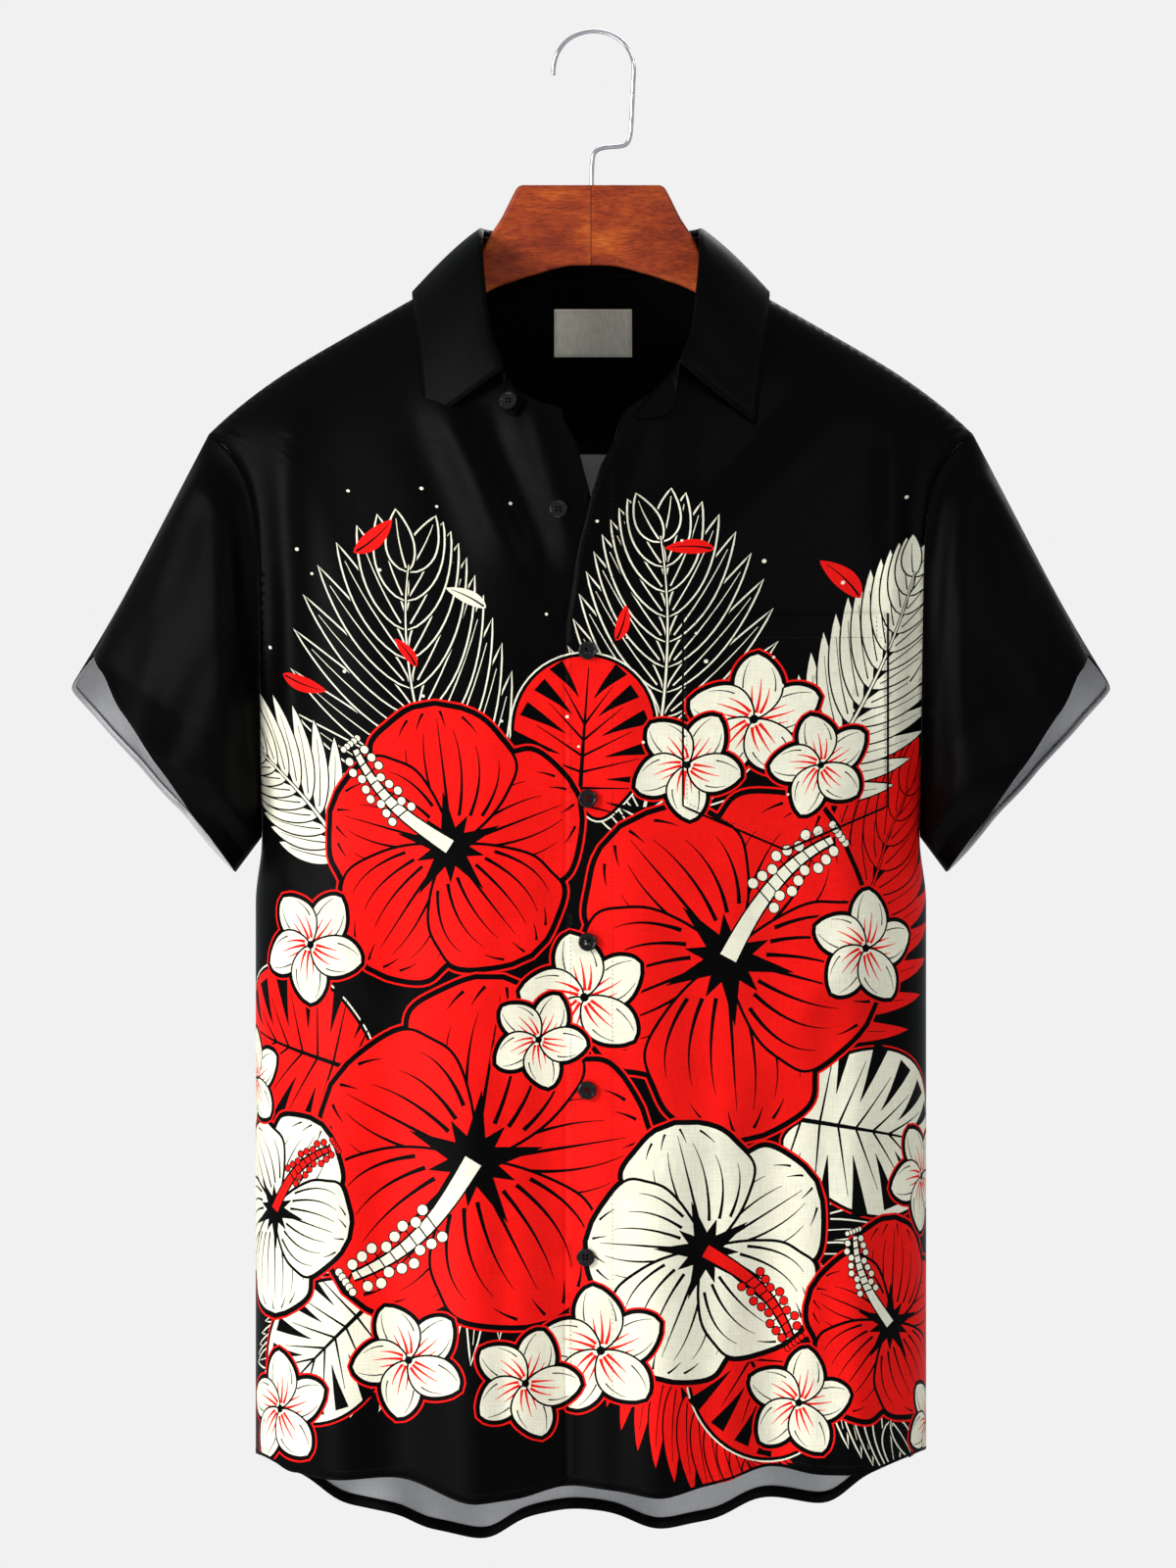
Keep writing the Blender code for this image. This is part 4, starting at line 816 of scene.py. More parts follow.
def split_leaf(x, z, size, turn, ink):
    """A broad heart-shaped leaf with slots between its ribs."""
    angle = np.linspace(-math.pi, math.pi, 80, endpoint=False)
    radius = size * (0.62 + 0.30 * np.cos(angle) + 0.10 * np.cos(2.0 * angle)
                     - 0.20 * np.exp(-((np.abs(angle) - math.pi) / 0.35) ** 2))
    leaf = turned(np.stack([radius * np.cos(angle), radius * np.sin(angle) * 0.92], axis=1), turn,
                  (x, z))
    shapes = [(grown(leaf, 3.0), RED_INK if ink == CREAM_INK else CREAM_INK),
              (grown(leaf, 2.0), BLACK_INK), (leaf, ink)]
    slot_t, vein_t = np.linspace(0.42, 1.15, 10), np.linspace(0.0, 0.92, 9)
    slot_widths = np.interp(slot_t, (0.42, 0.7, 1.15), (0.4, size * 0.045, size * 0.13))
    for side in (-1, 1):
        for k in range(6):
            start = size * mix(-0.16, 0.52, k / 5.0)
            away = side * mix(1.75, 0.55, k / 5.0)
            reach = size * mix(0.62, 0.42, k / 5.0)
            slot = np.stack([start + reach * slot_t * math.cos(away),
                             reach * slot_t * math.sin(away)
                             - side * size * 0.03 * np.sin(slot_t * 3.0)], axis=1)
            vein = np.stack([start - size * 0.075 + reach * vein_t * math.cos(away),
                             reach * vein_t * math.sin(away)], axis=1)
            shapes += [(stroke(turned(slot, turn, (x, z)), slot_widths), BLACK_INK),
                       (brush(turned(vein, turn, (x, z)), 1.6, 0.4), BLACK_INK)]
    rib = np.stack([np.linspace(-size * 0.30, size * 0.93, 12), np.zeros(12)], axis=1)
    return shapes + [(brush(turned(rib, turn, (x, z)), 3.2, 0.6), BLACK_INK)]


def drifting_leaf(x, z, size, turn, ink):
    leaf = Blade((x, z), turn, size, size * 0.36, 0.9, 0.75, 0.22, 18)
    line = np.stack([size * leaf.t[1:-2], leaf.middle[1:-2]], axis=1)
    return [(leaf.outline, ink), (brush(turned(line, turn, (x, z)), 1.3, 0.4), BLACK_INK)]


LEAVES = (
    # x, z, length, turn, bend, ink or None for lines
    (-40.0, -560.0, 250.0, 2.25, -0.9, None),
    (20.0, -520.0, 215.0, 1.25, 0.5, None),
    (60.0, -640.0, 235.0, 0.55, 0.7, RED_INK),
    (-80.0, -650.0, 215.0, 3.55, -0.8, RED_INK),
    (40.0, -700.0, 220.0, -0.45, -0.7, None),
    (-40.0, -690.0, 205.0, -2.2, -0.6, None),
    (120.0, -480.0, 165.0, 0.9, 0.6, CREAM_INK),
    (-150.0, -520.0, 140.0, 1.95, 0.8, CREAM_INK),
    (20.0, -760.0, 150.0, -1.2, 0.5, RED_INK),
)
BROAD_LEAVES = (
    # x, z, size, turn, ink
    (-168.0, -628.0, 82.0, 2.85, RED_INK),
    (150.0, -668.0, 88.0, -0.15, CREAM_INK),
    (-6.0, -455.0, 72.0, 1.5, RED_INK),
    (-150.0, -790.0, 70.0, -2.4, CREAM_INK),
    (92.0, -800.0, 74.0, -1.1, RED_INK),
)
HIBISCUSES = (
    # x, z, size, turn, ink, turn of the stamens
    (-88.0, -498.0, 84.0, 0.3, RED_INK, 2.2),
    (84.0, -566.0, 104.0, 0.95, RED_INK, 0.7),
    (-72.0, -690.0, 108.0, 0.1, RED_INK, -2.5),
    (70.0, -745.0, 78.0, 0.5, CREAM_INK, -0.9),
    (190.0, -790.0, 62.0, 0.2, RED_INK, 1.9),
    (-205.0, -720.0, 60.0, 0.9, CREAM_INK, 0.6),
)
PLUMERIAS = (
    # x, z, size, turn
    (96.0, -420.0, 40.0, 0.2), (58.0, -448.0, 34.0, 0.9), (140.0, -448.0, 32.0, 0.5),
    (-4.0, -590.0, 40.0, 0.4), (-32.0, -616.0, 30.0, 1.0), (172.0, -560.0, 36.0, 0.1),
    (-176.0, -558.0, 36.0, 0.8), (6.0, -806.0, 40.0, 0.3), (-40.0, -826.0, 34.0, 1.1),
    (-112.0, -812.0, 36.0, 0.6), (128.0, -838.0, 34.0, 0.0), (224.0, -700.0, 34.0, 0.7),
    (-232.0, -640.0, 32.0, 0.3), (-200.0, -842.0, 36.0, 0.2), (236.0, -850.0, 30.0, 0.9),
)
DRIFTING = (
    # x, z, size, turn, ink
    (-128.0, -318.0, 30.0, 0.5, RED_INK), (-58.0, -352.0, 24.0, 2.4, CREAM_INK),
    (66.0, -316.0, 26.0, 2.9, RED_INK), (150.0, -346.0, 34.0, 2.2, RED_INK),
    (-182.0, -392.0, 28.0, -0.6, RED_INK), (190.0, -398.0, 24.0, 0.9, CREAM_INK),
    (14.0, -372.0, 22.0, 1.1, RED_INK), (-100.0, -388.0, 20.0, 1.9, RED_INK),
)


DOTS = 46                    # small dots over the upper chest
DOTS_LEFT, DOTS_WIDTH = -250.0, 500.0
DOTS_TOP_Z, DOTS_HEIGHT = -276.0, 190.0


def print_shapes():
    """Closed outlines in painting order, each with its ink."""
    shapes = []
    for x, z, length, turn, bend, style in LEAVES:
        shapes += palm_frond(x, z, length, turn, bend, style)
    for row in BROAD_LEAVES:
        shapes += split_leaf(*row)
    for row in HIBISCUSES:
        shapes += hibiscus(*row)
    for row in PLUMERIAS:
        shapes += plumeria(*row)
    for row in DRIFTING:
        shapes += drifting_leaf(*row)
    for k in range(DOTS):
        s = DOTS_LEFT + DOTS_WIDTH * ((k * 0.61803) % 1.0)
        z = DOTS_TOP_Z - DOTS_HEIGHT * ((k * 0.41421 + 0.13) % 1.0) ** 1.2
        shapes.append((dot((s, z), 0.8 + 0.5 * ((k * 0.37) % 1.0), 8), CREAM_INK))
    return shapes


def front_grid(side, neckline, edge, flutes):
    """x and z of a front's grid points; x counts towards the piece's own side."""
    steps = np.linspace(0.0, ARMHOLE_STEPS + SIDE_STEPS, FRONT_ROWS + 1)
    heights = side_height(steps)
    neck = smooth_line(neckline, COLUMNS_PER_STRIP)
    shoulder_x = np.linspace(neckline[-1][0], SHOULDER_X, SHOULDER_STEPS * COLUMNS_PER_STRIP + 1)
    top_x = np.concatenate([neck[:, 0], shoulder_x[1:]])
    top_z = np.concatenate([neck[:, 1], shoulder_z(shoulder_x[1:])])
    shoulder_from = len(neck) - 1
    top_z[shoulder_from] = neckline[-1][1]
    corner_z, corner_x = edge[0]
    hem_x = edge[-1][1]
    down = ((heights[0] - heights) / (heights[0] - heights[-1]))[:, None]
    hem_z = float(rolling(flutes, side * hem_x, 2))
    left_x = straight(edge, mix(corner_z, hem_z, down))
    right_x = side_edge(heights)[0][:, None]
    side_drop = heights[:, None] - mix(shoulder_z(right_x), SIDE_HEM_Z, down)
    turn = np.linspace(0.0, 1.0, len(top_x))[None, :]
    bottom_x = mix(hem_x, HALF_WIDTH, section_share(turn))
    share = column_share((top_x[None, :] - corner_x) / (SHOULDER_X - corner_x),
                         (bottom_x - hem_x) / (HALF_WIDTH - hem_x), down)
    x = mix(left_x, right_x, share)
    on_shoulder = np.arange(len(top_x))[None, :] >= shoulder_from
    blend = smoothstep((np.arange(len(top_x))[None, :] - shoulder_from + 2) / 4.0)
    start_z = np.where(on_shoulder, mix(top_z[None, :], shoulder_z(x), blend), top_z[None, :])
    start_z = np.where(down == 0.0, top_z[None, :], start_z)
    bottom_z = rolling(flutes, side * bottom_x, 2)
    z = mix(start_z, bottom_z, down) + side_drop * share ** 4
    z[:, -1] = heights
    x[:, -1] = side_edge(heights)[0]
    return x, z


def make_printed(node, s, z, lift, side, shapes, materials):
    """A printed piece on the front, from a grid of flat places."""
    grid = np.stack([s, z], axis=-1)
    outline = np.concatenate([grid[0], grid[1:, -1], grid[-1, -2::-1], grid[-2:0:-1, 0]])
    flat, triangles, inks = printed_mesh(outline[::-1] if side > 0 else outline,
                                         grid[1:-1, 1:-1].reshape(-1, 2), shapes)
    x = unflat_across(flat[:, 0], flat[:, 1])
    return make_cloth(node, on_body(x, flat[:, 1], -1, lift(x)), triangles, flat, materials,
                      inks=np.array(inks))


def make_front(node, side, neckline, edge, lift, shapes, materials):
    x, z = front_grid(side, neckline, edge, FRONT_FLUTES)
    return make_printed(node, flat_across(side * x, z), z, lift, side, shapes, materials)


def yoke_seam_z(x):
    return YOKE_SEAM_Z - YOKE_SEAM_DROP * (x / YOKE_SEAM_DROP_X) ** 2


def back_grid(first, last, rows):
    """Outer points of the yoke (first is 0) or of the back, and their flat places."""
    steps = np.linspace(first, last, rows + 1)
    heights = side_height(steps)
    all_down = ((ARMHOLE_TOP_Z - heights) / (ARMHOLE_TOP_Z - SIDE_HEM_Z))[:, None]
    neck_columns = BACK_NECK_STEPS // 2 * COLUMNS_PER_STRIP
    turn = np.linspace(0.0, np.pi / 2.0, neck_columns + 1)
    neck_x = NECK_X * np.sin(turn)
    shoulder_x = np.linspace(NECK_X, SHOULDER_X, SHOULDER_STEPS * COLUMNS_PER_STRIP + 1)[1:]
    half_x = np.concatenate([neck_x, shoulder_x])
    half_z = np.concatenate([smooth_rows(BACK_NECK, neck_x), shoulder_z(shoulder_x)])
    top_x = np.concatenate([-half_x[:0:-1], half_x])[None, :]
    top_z = np.concatenate([half_z[:0:-1], half_z])[None, :]
    share = column_share(np.abs(top_x) / SHOULDER_X,
                         section_share(np.abs(np.linspace(-1.0, 1.0, top_x.size)))[None, :],
                         all_down)
    x = np.sign(top_x) * share * side_edge(heights)[0][:, None]
    local = ((heights[0] - heights) / (heights[0] - heights[-1]))[:, None]
    if first == 0:
        start_z = np.where(np.abs(top_x) > NECK_X - SEAM_GAP, shoulder_z(x), top_z)
        z = mix(start_z, yoke_seam_z(x), local)
    else:
        z = mix(yoke_seam_z(x), hem_z(BACK_FLUTES, x), local)
    points = on_body(x, z, 1)
    edge_x, edge_depth = side_edge(heights)
    for place, side in ((0, -1), (-1, 1)):
        points[:, place] = np.stack([side * edge_x, np.maximum(edge_depth, 0.1), heights], axis=-1)
    flat = np.stack([-flat_across(points[..., 0], points[..., 2], BACK_DEPTH), points[..., 2]],
                    axis=-1)
    return points, flat


def normals_of(points, closed=False):
    """Outward normals of a grid, from each point's neighbours."""
    if closed:
        across = np.roll(points, -1, axis=1) - np.roll(points, 1, axis=1)
    else:
        across = np.gradient(points, axis=1)
    down = np.gradient(points, axis=0)
    normal = np.cross(across, down)
    return normal / np.maximum(np.linalg.norm(normal, axis=-1, keepdims=True), 1e-9)


def tent(distance, low_run, high_run, softness=0.12):
    """1 at a crest, falling in straight slopes on both sides."""
    share = np.where(distance < 0.0, -distance / low_run, distance / high_run)
    return np.maximum(0.0, 1.0 + softness - np.sqrt(share ** 2 + softness ** 2))


def sleeve_relief(x, z, face):
    """How far a sleeve's crest, crease and soft folds stand out, seen from the front."""
    back = np.where(face > 0.0, 1, 0)
    top, full, end, gone = SLEEVE_CREST_Z
    crest_x = np.array(SLEEVE_CREST_X)[back] - SLEEVE_CREST_LEAN * (top - z)
    wander, pace, start_z = SLEEVE_CREST_WAVE
    crest_x += wander * np.sin((z - start_z) / pace)
    fade = smoothstep((top - z) / (top - full)) * smoothstep((z - gone) / (end - gone))
    crest = np.array(SLEEVE_CREST)[back] * fade * tent(x - crest_x, *SLEEVE_CREST_RUN)
    shift_x, shift_z = SLEEVE_CREASE_BACK
    below = straight(SLEEVE_CREASE, x + shift_x * back) - z - shift_z * back
    below *= SLEEVE_CREASE_LEAN
    crease = np.array(SLEEVE_CREASE_OUT)[back] * tent(below, *SLEEVE_CREASE_RUN)
    return crest + crease + crease_height(SLEEVE_FOLDS, x, z) * (1.0 - 0.5 * back)


def sleeve_points(side):
    """Outer points of a sleeve, armhole to hem, around from the top by the front."""
    count = ARMHOLE_STEPS * SLEEVE_PER_STRIP
    steps = np.linspace(0.0, ARMHOLE_STEPS, count + 1)
    z, angle = ring_height(steps)
    x, depth = side_edge(z)
    around = np.concatenate([np.arange(count + 1), np.arange(count - 1, 0, -1)])
    face = np.concatenate([np.full(count + 1, -1.0), np.full(count - 1, 1.0)])
    z, x, depth, angle = z[around], x[around], depth[around], angle[around]
    share = np.linspace(0.0, 1.0, SLEEVE_ROWS + 1)[:, None]
    start = np.stack([x + SEAM_GAP / 2.0, face * depth, z], axis=-1)
    along = SLEEVE_REACH * (1.0 + np.cos(angle))
    out = rolling(SLEEVE_OPENING, -face * np.degrees(angle))
    end = np.stack([SLEEVE_UNDERARM[0] + along * SLEEVE_AXIS[0] + out * SLEEVE_AXIS[1],
                    face * SLEEVE_DEPTH * np.sin(angle),
                    SLEEVE_UNDERARM[1] + along * SLEEVE_AXIS[1] - out * SLEEVE_AXIS[0]], axis=-1)
    points = mix(start[None], end[None], share[..., None])
    most, spread = SLEEVE_BODY_SHARE
    body = np.exp(-((share - most) / spread) ** 2) * np.sin(angle) ** 2
    proud = SLEEVE_BODY * body + sleeve_relief(points[..., 0], points[..., 2], face)
    proud *= smoothstep(share * 5.0) * smoothstep(np.sin(angle) * 4.0)
    points[..., 1] += face * proud
    points[..., 0] *= side
    lengths = np.linalg.norm(np.diff(np.concatenate([points, points[:, :1]], axis=1), axis=1),
                             axis=-1).mean(axis=0)
    turn = np.concatenate([[0.0], np.cumsum(lengths)[:-1]])
    flat = np.stack([np.broadcast_to(turn, points.shape[:2]),
                     np.broadcast_to(-SLEEVE_FLAT * share, points.shape[:2])], axis=-1)
    return points, flat


def collar_side(side, neckline, leaf_end, tab):
    stations = []
    half_steps = BACK_NECK_STEPS // 2
    for step in range(half_steps + 1):
        x = NECK_X * math.sin(step / half_steps * math.pi / 2.0)
        line = np.array([float(smooth_rows(COLLAR_BACK, x, column)) for column in range(2, 8)])
        z = float(smooth_rows(BACK_NECK, x))
        neck = on_body(x, z, 1) if step < half_steps else np.array((x, 0.0, z))
        stations.append((neck, line[:3], line[3:]))
    lap = lap_lift if side > 0 else no_lift
    for (x, z), row in zip(neckline[::-1], (*COLLAR_FRONT, leaf_end)):
        edge = on_body(row[3], row[5], -1, row[4])
        stations.append((on_body(x, z, -1, lap(x)), np.array(row[:3]), edge))
    for neck_x, neck_z, fold_x, fold_z in tab:
        neck = on_body(neck_x, neck_z, -1, lap(neck_x) + TAB_LIFT)
        fold = on_body(fold_x, fold_z, -1, lap(fold_x) + TAB_LIFT)
        stations.append((neck, fold, None))
    flipped = np.array((side, 1.0, 1.0))
    return [tuple(point * flipped if point is not None else None for point in station)
            for station in stations]


def collar_stations():
    under = collar_side(-1, UNDER_TOP, UNDER_LEAF_END, UNDER_TAB)
    return under[:0:-1] + collar_side(1, OVER_TOP, OVER_LEAF_END, OVER_TAB)


def fine_stations():
    """Neck, fold and edge lines of the collar at fine steps."""
    stations = collar_stations()
    with_leaf = [k for k, station in enumerate(stations) if station[2] is not None]
    neck = smooth_line([station[0] for station in stations], COLLAR_FINE)
    fold = smooth_line([station[1] for station in stations], COLLAR_FINE)
    edge = smooth_line([stations[k][2] for k in with_leaf], COLLAR_FINE)
    return neck, fold, edge, with_leaf[0] * COLLAR_FINE


def unit(vectors):
    return vectors / np.maximum(np.linalg.norm(vectors, axis=-1, keepdims=True), 1e-9)


def collar_grids():
    neck, fold, edge, leaf_from = fine_stations()
    up = unit(fold - neck)
    leaf_to = leaf_from + len(edge)
    gap = np.zeros(len(neck))
    gap[leaf_from:leaf_to] = STAND_TOP_GAP
    top = fold - up * gap[:, None]
    bottom = neck + up * SEAM_GAP
    share = np.linspace(0.0, 1.0, 9)[:, None, None]
    stand = mix(top[None], bottom[None], share)
    outward = normals_of(stand)[0]
    columns = []
    for k in range(len(edge)):
        j = leaf_from + k
        out = unit(outward[j] - up[j] * np.dot(outward[j], up[j]))
        start = fold[j] - out * LEAF_INSET
        centre = start + out * LEAF_ROLL_RADIUS
        fall = edge[k] - centre
        turn = math.atan2(float(np.dot(fall, out)), float(np.dot(fall, up[j])))
        column = [start - up[j] * LEAF_START]
        for step in range(LEAF_ROLL_STEPS + 1):
            angle = turn * step / LEAF_ROLL_STEPS
            spoke = up[j] * math.sin(angle) - out * math.cos(angle)
            column.append(centre + spoke * LEAF_ROLL_RADIUS)
        last = column[-1]
        for share_down in np.linspace(0.0, 1.0, LEAF_ROWS)[1:]:
            bulge = LEAF_BULGE * math.sin(math.pi * share_down ** 0.8)
            column.append(mix(last, edge[k], share_down) + spoke * bulge)
        columns.append(column)
    leaf = np.array(columns).transpose(1, 0, 2)
    return stand, leaf


def run_length(points):
    """Length from the first point to each point, or to each row of points."""
    steps = np.cumsum(np.linalg.norm(np.diff(points, axis=0), axis=-1), axis=0)
    return np.concatenate([np.zeros_like(steps[:1]), steps])


def strip_flat(points):
    """Flat places of a strip of cloth, from the lengths along its rows and columns."""
    across = run_length(points.swapaxes(0, 1)).T.mean(axis=0)
    return np.stack([np.broadcast_to(across, points.shape[:2]), -run_length(points)], axis=-1)


def make_pocket(shapes, materials):
    rows, columns = POCKET_GRID
    across = np.linspace(-1.0, 1.0, columns)[None, :]
    down = np.linspace(0.0, 1.0, rows)[:, None]
    half = (POCKET_RIGHT_X - POCKET_LEFT_X) / 2.0
    x = POCKET_MIDDLE_X + half * across + 0.0 * down
    z = mix(POCKET_TOP_Z, mix(POCKET_TIP_Z, POCKET_CORNER_Z, np.abs(across)), down)
    return make_printed("pocket", flat_across(x, z), z,
                        lambda x: lap_lift(x) + POCKET_GAP + CLOTH, 1, shapes, materials)


def make_pocket_shadow_strip(material):
    """Painted shadow: a black strip along the pocket's edge, down both sides and along its point.
    """
    left, right = POCKET_LEFT_X, POCKET_RIGHT_X
    line = along([(left, POCKET_TOP_Z), (left, POCKET_CORNER_Z), (POCKET_MIDDLE_X, POCKET_TIP_Z),
                  (right, POCKET_CORNER_Z), (right, POCKET_TOP_Z)], 3.0)
    way = unit(np.gradient(line, axis=0))
    away = np.stack([-way[:, 1], way[:, 0]], axis=-1)
    inward = (away * (line - (POCKET_MIDDLE_X, POCKET_TOP_Z))).sum(axis=-1) < 0.0
    away[inward] *= -1.0
    rows = []
    for out, lift in POCKET_SHADOW_STRIP:
        x, z = (line + away * out).T
        rows.append(on_body(x, z, -1, lap_lift(x) + lift))
    points = np.array(rows)
    return make_shell("pocket_painted_shadow_strip", SLOTS["pocket"], *as_grid(points, strip_flat(points)),
                      [material], 0.2)


def make_yoke_facing(outer, materials):
    """Inner layer of the yoke, a small gap inside the outer one."""
    normals = normals_of(outer)
    columns = range(2, outer.shape[1] - 2)
    rows = []
    per_step = YOKE_ROWS / YOKE_STEPS
    for i in range(YOKE_ROWS - 2):
        line = []
        for j in columns:
            top_x = abs(outer[0, j, 0])
            start = mix(0.4, 1.6, float(smoothstep((top_x - 40.0) / 30.0))) * per_step
            place = mix(start, YOKE_ROWS - 0.5, i / (YOKE_ROWS - 3))
            low = min(int(place), YOKE_ROWS - 1)
            point = mix(outer[low, j], outer[low + 1, j], place - low)
            normal = unit(mix(normals[low, j], normals[low + 1, j], place - low))
            line.append(point - normal * (CLOTH + FACING_GAP))
        rows.append(line)
    points = np.array(rows)
    return make_cloth("yoke_facing", *as_grid(points, strip_flat(points), flip=True), materials,
                      FACING_CLOTH)


def make_hem(name, slot, edge, up, out, width, material, closed=False, first=0):
    """Turned hem: a narrow band round the edge of a cloth and up its inner side."""
    rows = [edge + up * lift + out * away for lift, away in HEM_FOLD[first:-1]]
    rows.append(edge + up * width + out * HEM_FOLD[-1][1])
    points = np.array(rows)
    return make_shell("hem_" + name, slot, *as_grid(points, strip_flat(points), closed),
                      [material], 0.3)


def make_hems(cloth):
    """Turned hems of the fronts, the back and both sleeves."""
    hems = {}
    for name, node, face, from_x, to_x, lift in (
            ("under", "front_right", -1, -HALF_WIDTH, 14.0, no_lift),
            ("over", "front_left", -1, -15.6, HALF_WIDTH, lap_lift),
            ("back", "back", 1, HALF_WIDTH, -HALF_WIDTH, no_lift)):
        hems[name] = make_hem(name, SLOTS[node], *body_hem(face, from_x, to_x, lift), HEM_WIDTH,
                              cloth["black"])
    for name, side in (("right", -1), ("left", 1)):
        points, _ = sleeve_points(side)
        edge = points[-1]
        up = unit(points[-3] - edge)
        around = np.roll(edge, -1, axis=0) - np.roll(edge, 1, axis=0)
        out = unit(np.cross(up, around) * side)
        hems[name] = make_hem("sleeve_" + name, SLOTS["sleeve_" + name], edge, up, out,
                              SLEEVE_HEM_WIDTH, cloth["reverse"], closed=True, first=4)
    return hems


def body_hem(face, from_x, to_x, lift=no_lift):
    """Edge, upward and outward directions along the hem of a front or the back."""
    depth = FRONT_DEPTH if face < 0 else BACK_DEPTH
    flutes = FRONT_FLUTES if face < 0 else BACK_FLUTES
    ends = [float(flat_across(np.float64(x), SIDE_HEM_Z, depth)) for x in (from_x, to_x)]
    x = unflat_across(np.linspace(*ends, 150), SIDE_HEM_Z, depth)
    z = hem_z(flutes, x)
    edge = on_body(x, z, face, lift(x))
    up = unit(on_body(x, z + 2.0, face, lift(x)) - edge)
    return edge, up, unit(np.cross(np.gradient(edge, axis=0), up))


def make_label(material):
    across = np.linspace(-0.5, 0.5, 25)[None, :]
    down = np.linspace(0.5, -0.5, 17)[:, None]
    flat = np.stack([LABEL_SIZE[0] * across + 0.0 * down, LABEL_SIZE[1] * down + 0.0 * across],
                    axis=-1)
    points = on_body(LABEL_CENTRE[0] + flat[..., 0], LABEL_CENTRE[1] + flat[..., 1], 1)
    points -= normals_of(points) * LABEL_LIFT
    return make_cloth("label", *as_grid(points, flat), [material], 0.5)


# Hanger
def whole_in_edit_mode():
    bpy.ops.object.mode_set(mode="EDIT")
    bpy.ops.mesh.select_all(action="SELECT")


def made_solid(name, curve, material):
    """The curve as a closed mesh that stands in the shirt's X-Z plane."""
    thing = linked(name, curve)
    bpy.ops.object.select_all(action="DESELECT")
    thing.select_set(True)
    bpy.context.view_layer.objects.active = thing
    bpy.ops.object.convert(target="MESH")
    thing = bpy.context.object
    thing.data.transform(Matrix.Rotation(math.pi / 2.0, 4, "X"))
    whole_in_edit_mode()
    bpy.ops.mesh.remove_doubles(threshold=0.00002)
    bpy.ops.mesh.normals_make_consistent(inside=False)
    bpy.ops.object.mode_set(mode="OBJECT")
    thing.data.materials.clear()
    thing.data.materials.append(material)
    return riding(thing)


def flat_curve(name, places, closed, bevel, resolution):
    curve = bpy.data.curves.new(name, "CURVE")
    curve.dimensions = "2D" if closed else "3D"
    spline = curve.splines.new("POLY")
    spline.points.add(len(places) - 1)
    for point, (x, z) in zip(spline.points, places):
        point.co = (x * MM, z * MM, 0.0, 1.0)
    spline.use_cyclic_u = closed
    curve.bevel_depth = bevel * MM
    curve.bevel_resolution = resolution
    return curve


def make_hook(material):
    curve = flat_curve("wire_hook", smooth_line(HOOK_LINE, 5), False, WIRE_RADIUS, 4)
    curve.use_fill_caps = True
    thing = made_solid("wire_hook", curve, material)
    bpy.ops.object.shade_smooth_by_angle(angle=math.radians(50.0))
    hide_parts("hanger_hook")


def make_bar(node, side, material):
    """One wooden half with rounded edges, cut off flat at the joint in the middle."""
    over = [(-JOINT_SPARE, BAR_TOP[0][1]), *smooth_line(BAR_TOP, 4)]
    over += [(x, float(shoulder_z(x)) - BAR_CLEARANCE) for x in BAR_COVERED_X]
    under = [(-JOINT_SPARE, BAR_UNDER[0][1]), *smooth_line(BAR_UNDER, 8)]
    places = [(side * x, z) for x, z in over + list(BAR_END) + under[::-1]]
    curve = flat_curve("finer_" + node, places, True, BAR_ROUNDING, 3)
    curve.fill_mode = "BOTH"
    curve.extrude = (BAR_THICKNESS / 2.0 - BAR_ROUNDING) * MM
    curve.offset = -BAR_ROUNDING * MM
    thing = made_solid("finer_" + node, curve, material)
    whole_in_edit_mode()
    bpy.ops.mesh.bisect(plane_co=(side * JOINT_GAP / 2.0 * MM, 0.0, 0.0),
                        plane_no=(side, 0.0, 0.0), use_fill=True, clear_inner=True)
    bpy.ops.object.mode_set(mode="OBJECT")
    bpy.ops.object.shade_smooth_by_angle(angle=math.radians(35.0))
    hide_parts(node)


# Sewing
def at_runs(points, run, places):
    return np.stack([np.interp(places, run, points[:, k]) for k in range(points.shape[1])],
                    axis=-1)


def along(places, step=1.5):
    """A line of places with even short steps."""
    places = np.asarray(places, float)
    run = run_length(places)
    return at_runs(places, run, np.linspace(0.0, run[-1], max(int(run[-1] / step), 2) + 1))


def sewn_on(places, face, lift=no_lift, above=STITCH_ABOVE):
    """Points and outward directions along a line of x, z places on the body."""
    x, z = along(places).T

    def surface(x, z):
        return on_body(x, z, face, lift(x))

    out = unit(np.cross(surface(x + 1.0, z) - surface(x - 1.0, z),
                        surface(x, z + 1.0) - surface(x, z - 1.0)))
    out *= np.where(out[:, 1] * face < 0.0, -1.0, 1.0)[:, None]
    return surface(x, z) + out * above, out


def make_stitches(name, material, rows, size=(STITCH_PITCH, STITCH_LENGTH, STITCH_RADIUS)):
    """Rows of short thread dashes. A row is a line of points with their outward directions."""
    pitch, length, radius = size
    corners = []
    for points, out in rows:
        run = run_length(points)
        places = np.arange(pitch / 2.0, run[-1], pitch)
        centre = at_runs(points, run, places)
        ahead = unit(at_runs(points, run, places + 0.6) - at_runs(points, run, places - 0.6))
        up = unit(at_runs(out, run, places))
        aside, reach = unit(np.cross(ahead, up)) * radius, ahead * length / 2.0
        corners.append(np.stack([centre - reach, centre + reach, centre + aside,
                                 centre + up * radius, centre - aside, centre - up * radius],
                                axis=1).reshape(-1, 3))
    corners = np.concatenate(corners)
    faces = []
    for first in range(0, len(corners), 6):
        for k in range(4):
            this, following = first + 2 + k, first + 2 + (k + 1) % 4
            faces += [(first, this, following), (first + 1, following, this)]
    mesh = bpy.data.meshes.new("stitches_" + name)
    mesh.from_pydata((corners * MM).tolist(), [], faces)
    mesh.materials.append(material)
    mesh.shade_smooth()
    riding(linked("stitches_" + name, mesh))


